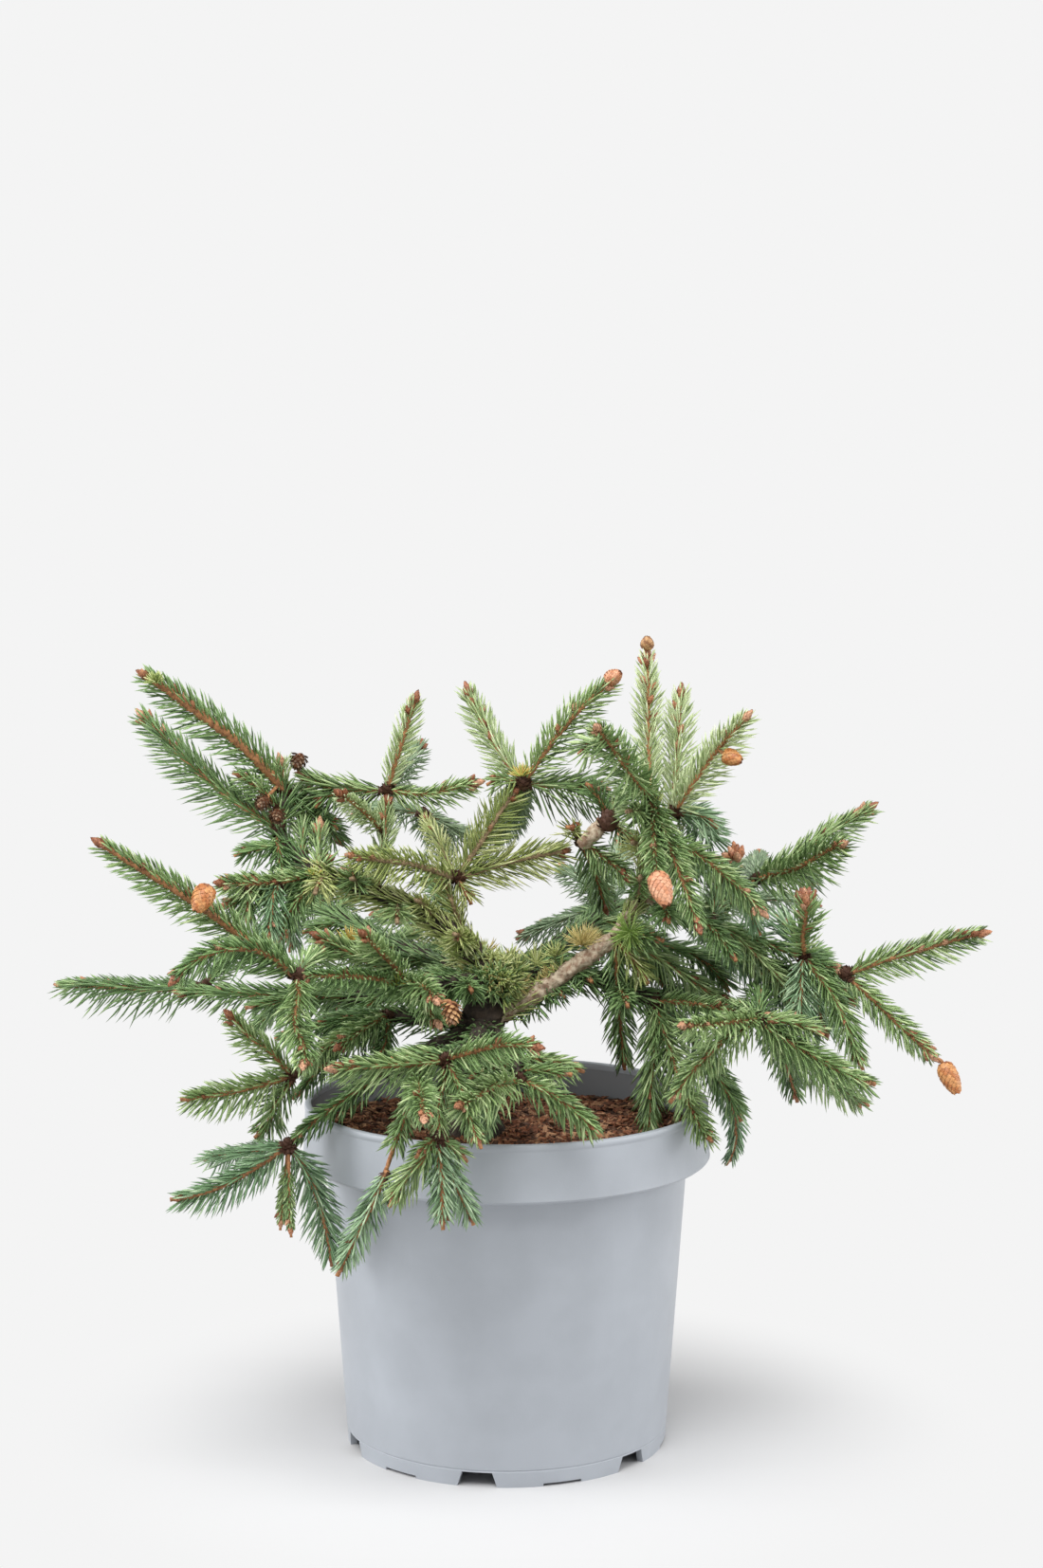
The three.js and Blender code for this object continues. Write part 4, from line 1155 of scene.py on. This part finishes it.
def make_pot():
    foot, top = POT_WALL[0][1], POT_WALL[-1][0]
    slope = (POT_WALL[1][1] - foot) / POT_WALL[1][0]
    corners = []
    for first, low, high, _ in NOTCHES:
        for n in range(6):
            corners += [first + 60 * n + side * half for side in (-1, 1) for half in (low, high)]
    turns = np.radians(np.unique(np.round(np.mod([*np.arange(0, 360, 2.0), *corners], 360), 3)))
    points, quads, fans = turned(pot_profile(), turns)
    degrees = np.degrees(turns)
    lift = np.zeros(len(turns))
    for first, low, high, height in NOTCHES:
        away = np.abs((degrees - first + 30) % 60 - 30)
        lift = np.maximum(lift, height * np.clip((low - away) / (low - high), 0, 1))
    rings = points[:-2].reshape(-1, len(turns), 3)
    for ring, radius in ((3, foot - FOOT_RING), (4, foot)):  # the foot ring's lower edges
        radius = radius + slope * lift
        rings[ring] = np.stack([radius * np.cos(turns), radius * np.sin(turns), lift], -1)
    shell = Piece("pot_shell", "pot", COLOURS["pot"], 0.42, 30, 0.06, 900)
    shell.add(points, quads, fans)
    shell.nodes.add("pot")
    shell.build(sharp=35)
    # A darker grey sheet just inside the wall, from the soil up to the rim, paints the shade inside the pot
    painted_shade_liner = Piece("pot_painted_shade_inside", "pot", COLOURS["pot_inside_painted_shade"], 0.6)
    walls = [(pot_radius(z) - 3.0, z) for z in (SOIL_LEVEL - 5, top - 4.5)]
    painted_shade_liner.add([(r * np.cos(a), r * np.sin(a), z) for r, z in walls for a in turns], net(2, len(turns))[:, ::-1])
    painted_shade_liner.build()


def ground(x, y):
    """The soil's height at a place."""
    return 3.0 * noise.noise(Vector((x / 26, y / 26, 0))) + 1.4 * noise.noise(Vector((x / 9, y / 9, 4)))


def make_soil():
    inside = pot_radius(SOIL_LEVEL) - 3.2
    shares = (0.985, 0.93, 0.85, 0.76, 0.66, 0.56, 0.46, 0.36, 0.26, 0.16, 0.07)
    profile = [
        (0, 13.4),
        *((pot_radius(z) - 3, z) for z in (13.4, 172)),
        (inside - 2, 180),
        (inside, SOIL_LEVEL - 3),
        *((inside * share, SOIL_LEVEL) for share in shares),
        (0, SOIL_LEVEL + 1),
    ]
    points, quads, fans = turned(profile, circle(72))
    for p in points:
        if p[2] > SOIL_LEVEL - 0.5:
            p[2] = SOIL_LEVEL + ground(p[0], p[1])
    bed = Piece("soil_bed", "soil", COLOURS["peat"], 1.0, 240, 0.8, 700)
    bed.add(points, quads, fans)
    bed.nodes.add("soil")
    bed.build()
    scatter_chips(inside)


def scatter_chips(inside):
    """Bark chips and fibres lying on the soil, but for a ring round the trunk."""
    rng = np.random.default_rng([SEED, SOIL_SEED])
    heaps = pieces_of("soil_chips", "soil", COLOURS["chips"], 0.95, 500, 0.7)
    box = np.array([(x, y, z) for z in (-1, 1) for x, y in ((-1, -1), (1, -1), (1, 1), (-1, 1))], float)
    faces = np.array([(3, 2, 1, 0), (4, 5, 6, 7), (0, 1, 5, 4), (1, 2, 6, 5), (2, 3, 7, 6), (3, 0, 4, 7)])
    for _ in range(CHIPS):
        r, a = inside * 0.985 * np.sqrt(rng.random()), rng.uniform(0, 2 * pi)
        x, y = r * np.cos(a), r * np.sin(a)
        if np.hypot(x - FORKS["foot"][0], y) < 15:
            continue
        long = rng.gamma(3.0, 1.3) + 1.6
        size = np.array([long, rng.uniform(0.5, 2.0), rng.uniform(0.25, 0.8)])
        if rng.random() < FIBRES:
            size = np.array([long * 1.5, 0.4, 0.3])
        turn, tilt, roll = rng.uniform(0, 2 * pi), rng.normal(0, 0.28), rng.normal(0, 0.5)
        ahead = heading_to(turn, tilt)
        side = np.array([-np.sin(turn), np.cos(turn), 0.0])
        up = np.cross(ahead, side)
        side, up = side * np.cos(roll) + up * np.sin(roll), up * np.cos(roll) - side * np.sin(roll)
        corners = box * size / [2, 1, 1] * rng.uniform(0.72, 1.1, (8, 3))
        corners[:, 0] *= min(1.0, max(0.2, (inside - r) / max(long / 2, 0.1)))  # shorter at the wall
        spot = np.array([x, y, SOIL_LEVEL + ground(x, y) + rng.uniform(-0.3, 1.8)])
        heap = heaps[rng.integers(len(heaps))]
        heap.add(spot + corners[:, :1] * ahead + corners[:, 1:2] * side + corners[:, 2:] * up, faces)
    for heap in heaps:
        heap.build(smooth=False)


# ---- the plant put together
make_pot()
make_soil()
grow_trunk()
grow_boughs()
grow_foliage()
grow_details()
grow_cones()
for name, piece in Piece.made.items():
    if not name.startswith(("pot_", "soil_")):
        piece.build()


# ---- floor, light and camera
def lay_floor():
    bpy.ops.mesh.primitive_plane_add(size=30, location=(0, 0, 0))
    floor = bpy.context.object
    floor.name = "floor"
    floor.data.materials.append(floor_finish())


def light_room(scene):
    """One light for the plant, and a paler one that only the camera sees."""
    scene.world = bpy.data.worlds.new("studio")
    scene.world.use_nodes = True
    tree = scene.world.node_tree
    room = tree.nodes["Background"]
    room.inputs["Color"].default_value = (1, 1, 1, 1)
    room.inputs["Strength"].default_value = ROOM_LIGHT
    behind = add_node(tree, "Background", Color=BACKGROUND)
    mix(tree, add_node(tree, "LightPath").outputs["Is Camera Ray"], "Background", behind, "World Output")


def hang_softboxes():
    for name, place, power in SOFTBOXES:
        data = bpy.data.lights.new(name, "AREA")
        data.shape, data.size, data.energy = "SQUARE", SOFTBOX_SIZE, power
        light = put_in_scene(name, data)
        light.location = place
        light.rotation_euler = (LIT_SPOT - Vector(place)).to_track_quat("-Z", "Y").to_euler()


def make_camera():
    data = bpy.data.cameras.new("camera")
    data.lens, data.clip_start, data.clip_end = CAMERA_LENS, 0.01, 100
    camera = put_in_scene("camera", data)
    camera.location, camera.rotation_euler = CAMERA_PLACE, (pi / 2 - CAMERA_DIP, 0, 0)
    return camera


SCENE = bpy.context.scene
SCENE.view_settings.view_transform = "Standard"
lay_floor()
light_room(SCENE)
hang_softboxes()
SCENE.camera = make_camera()
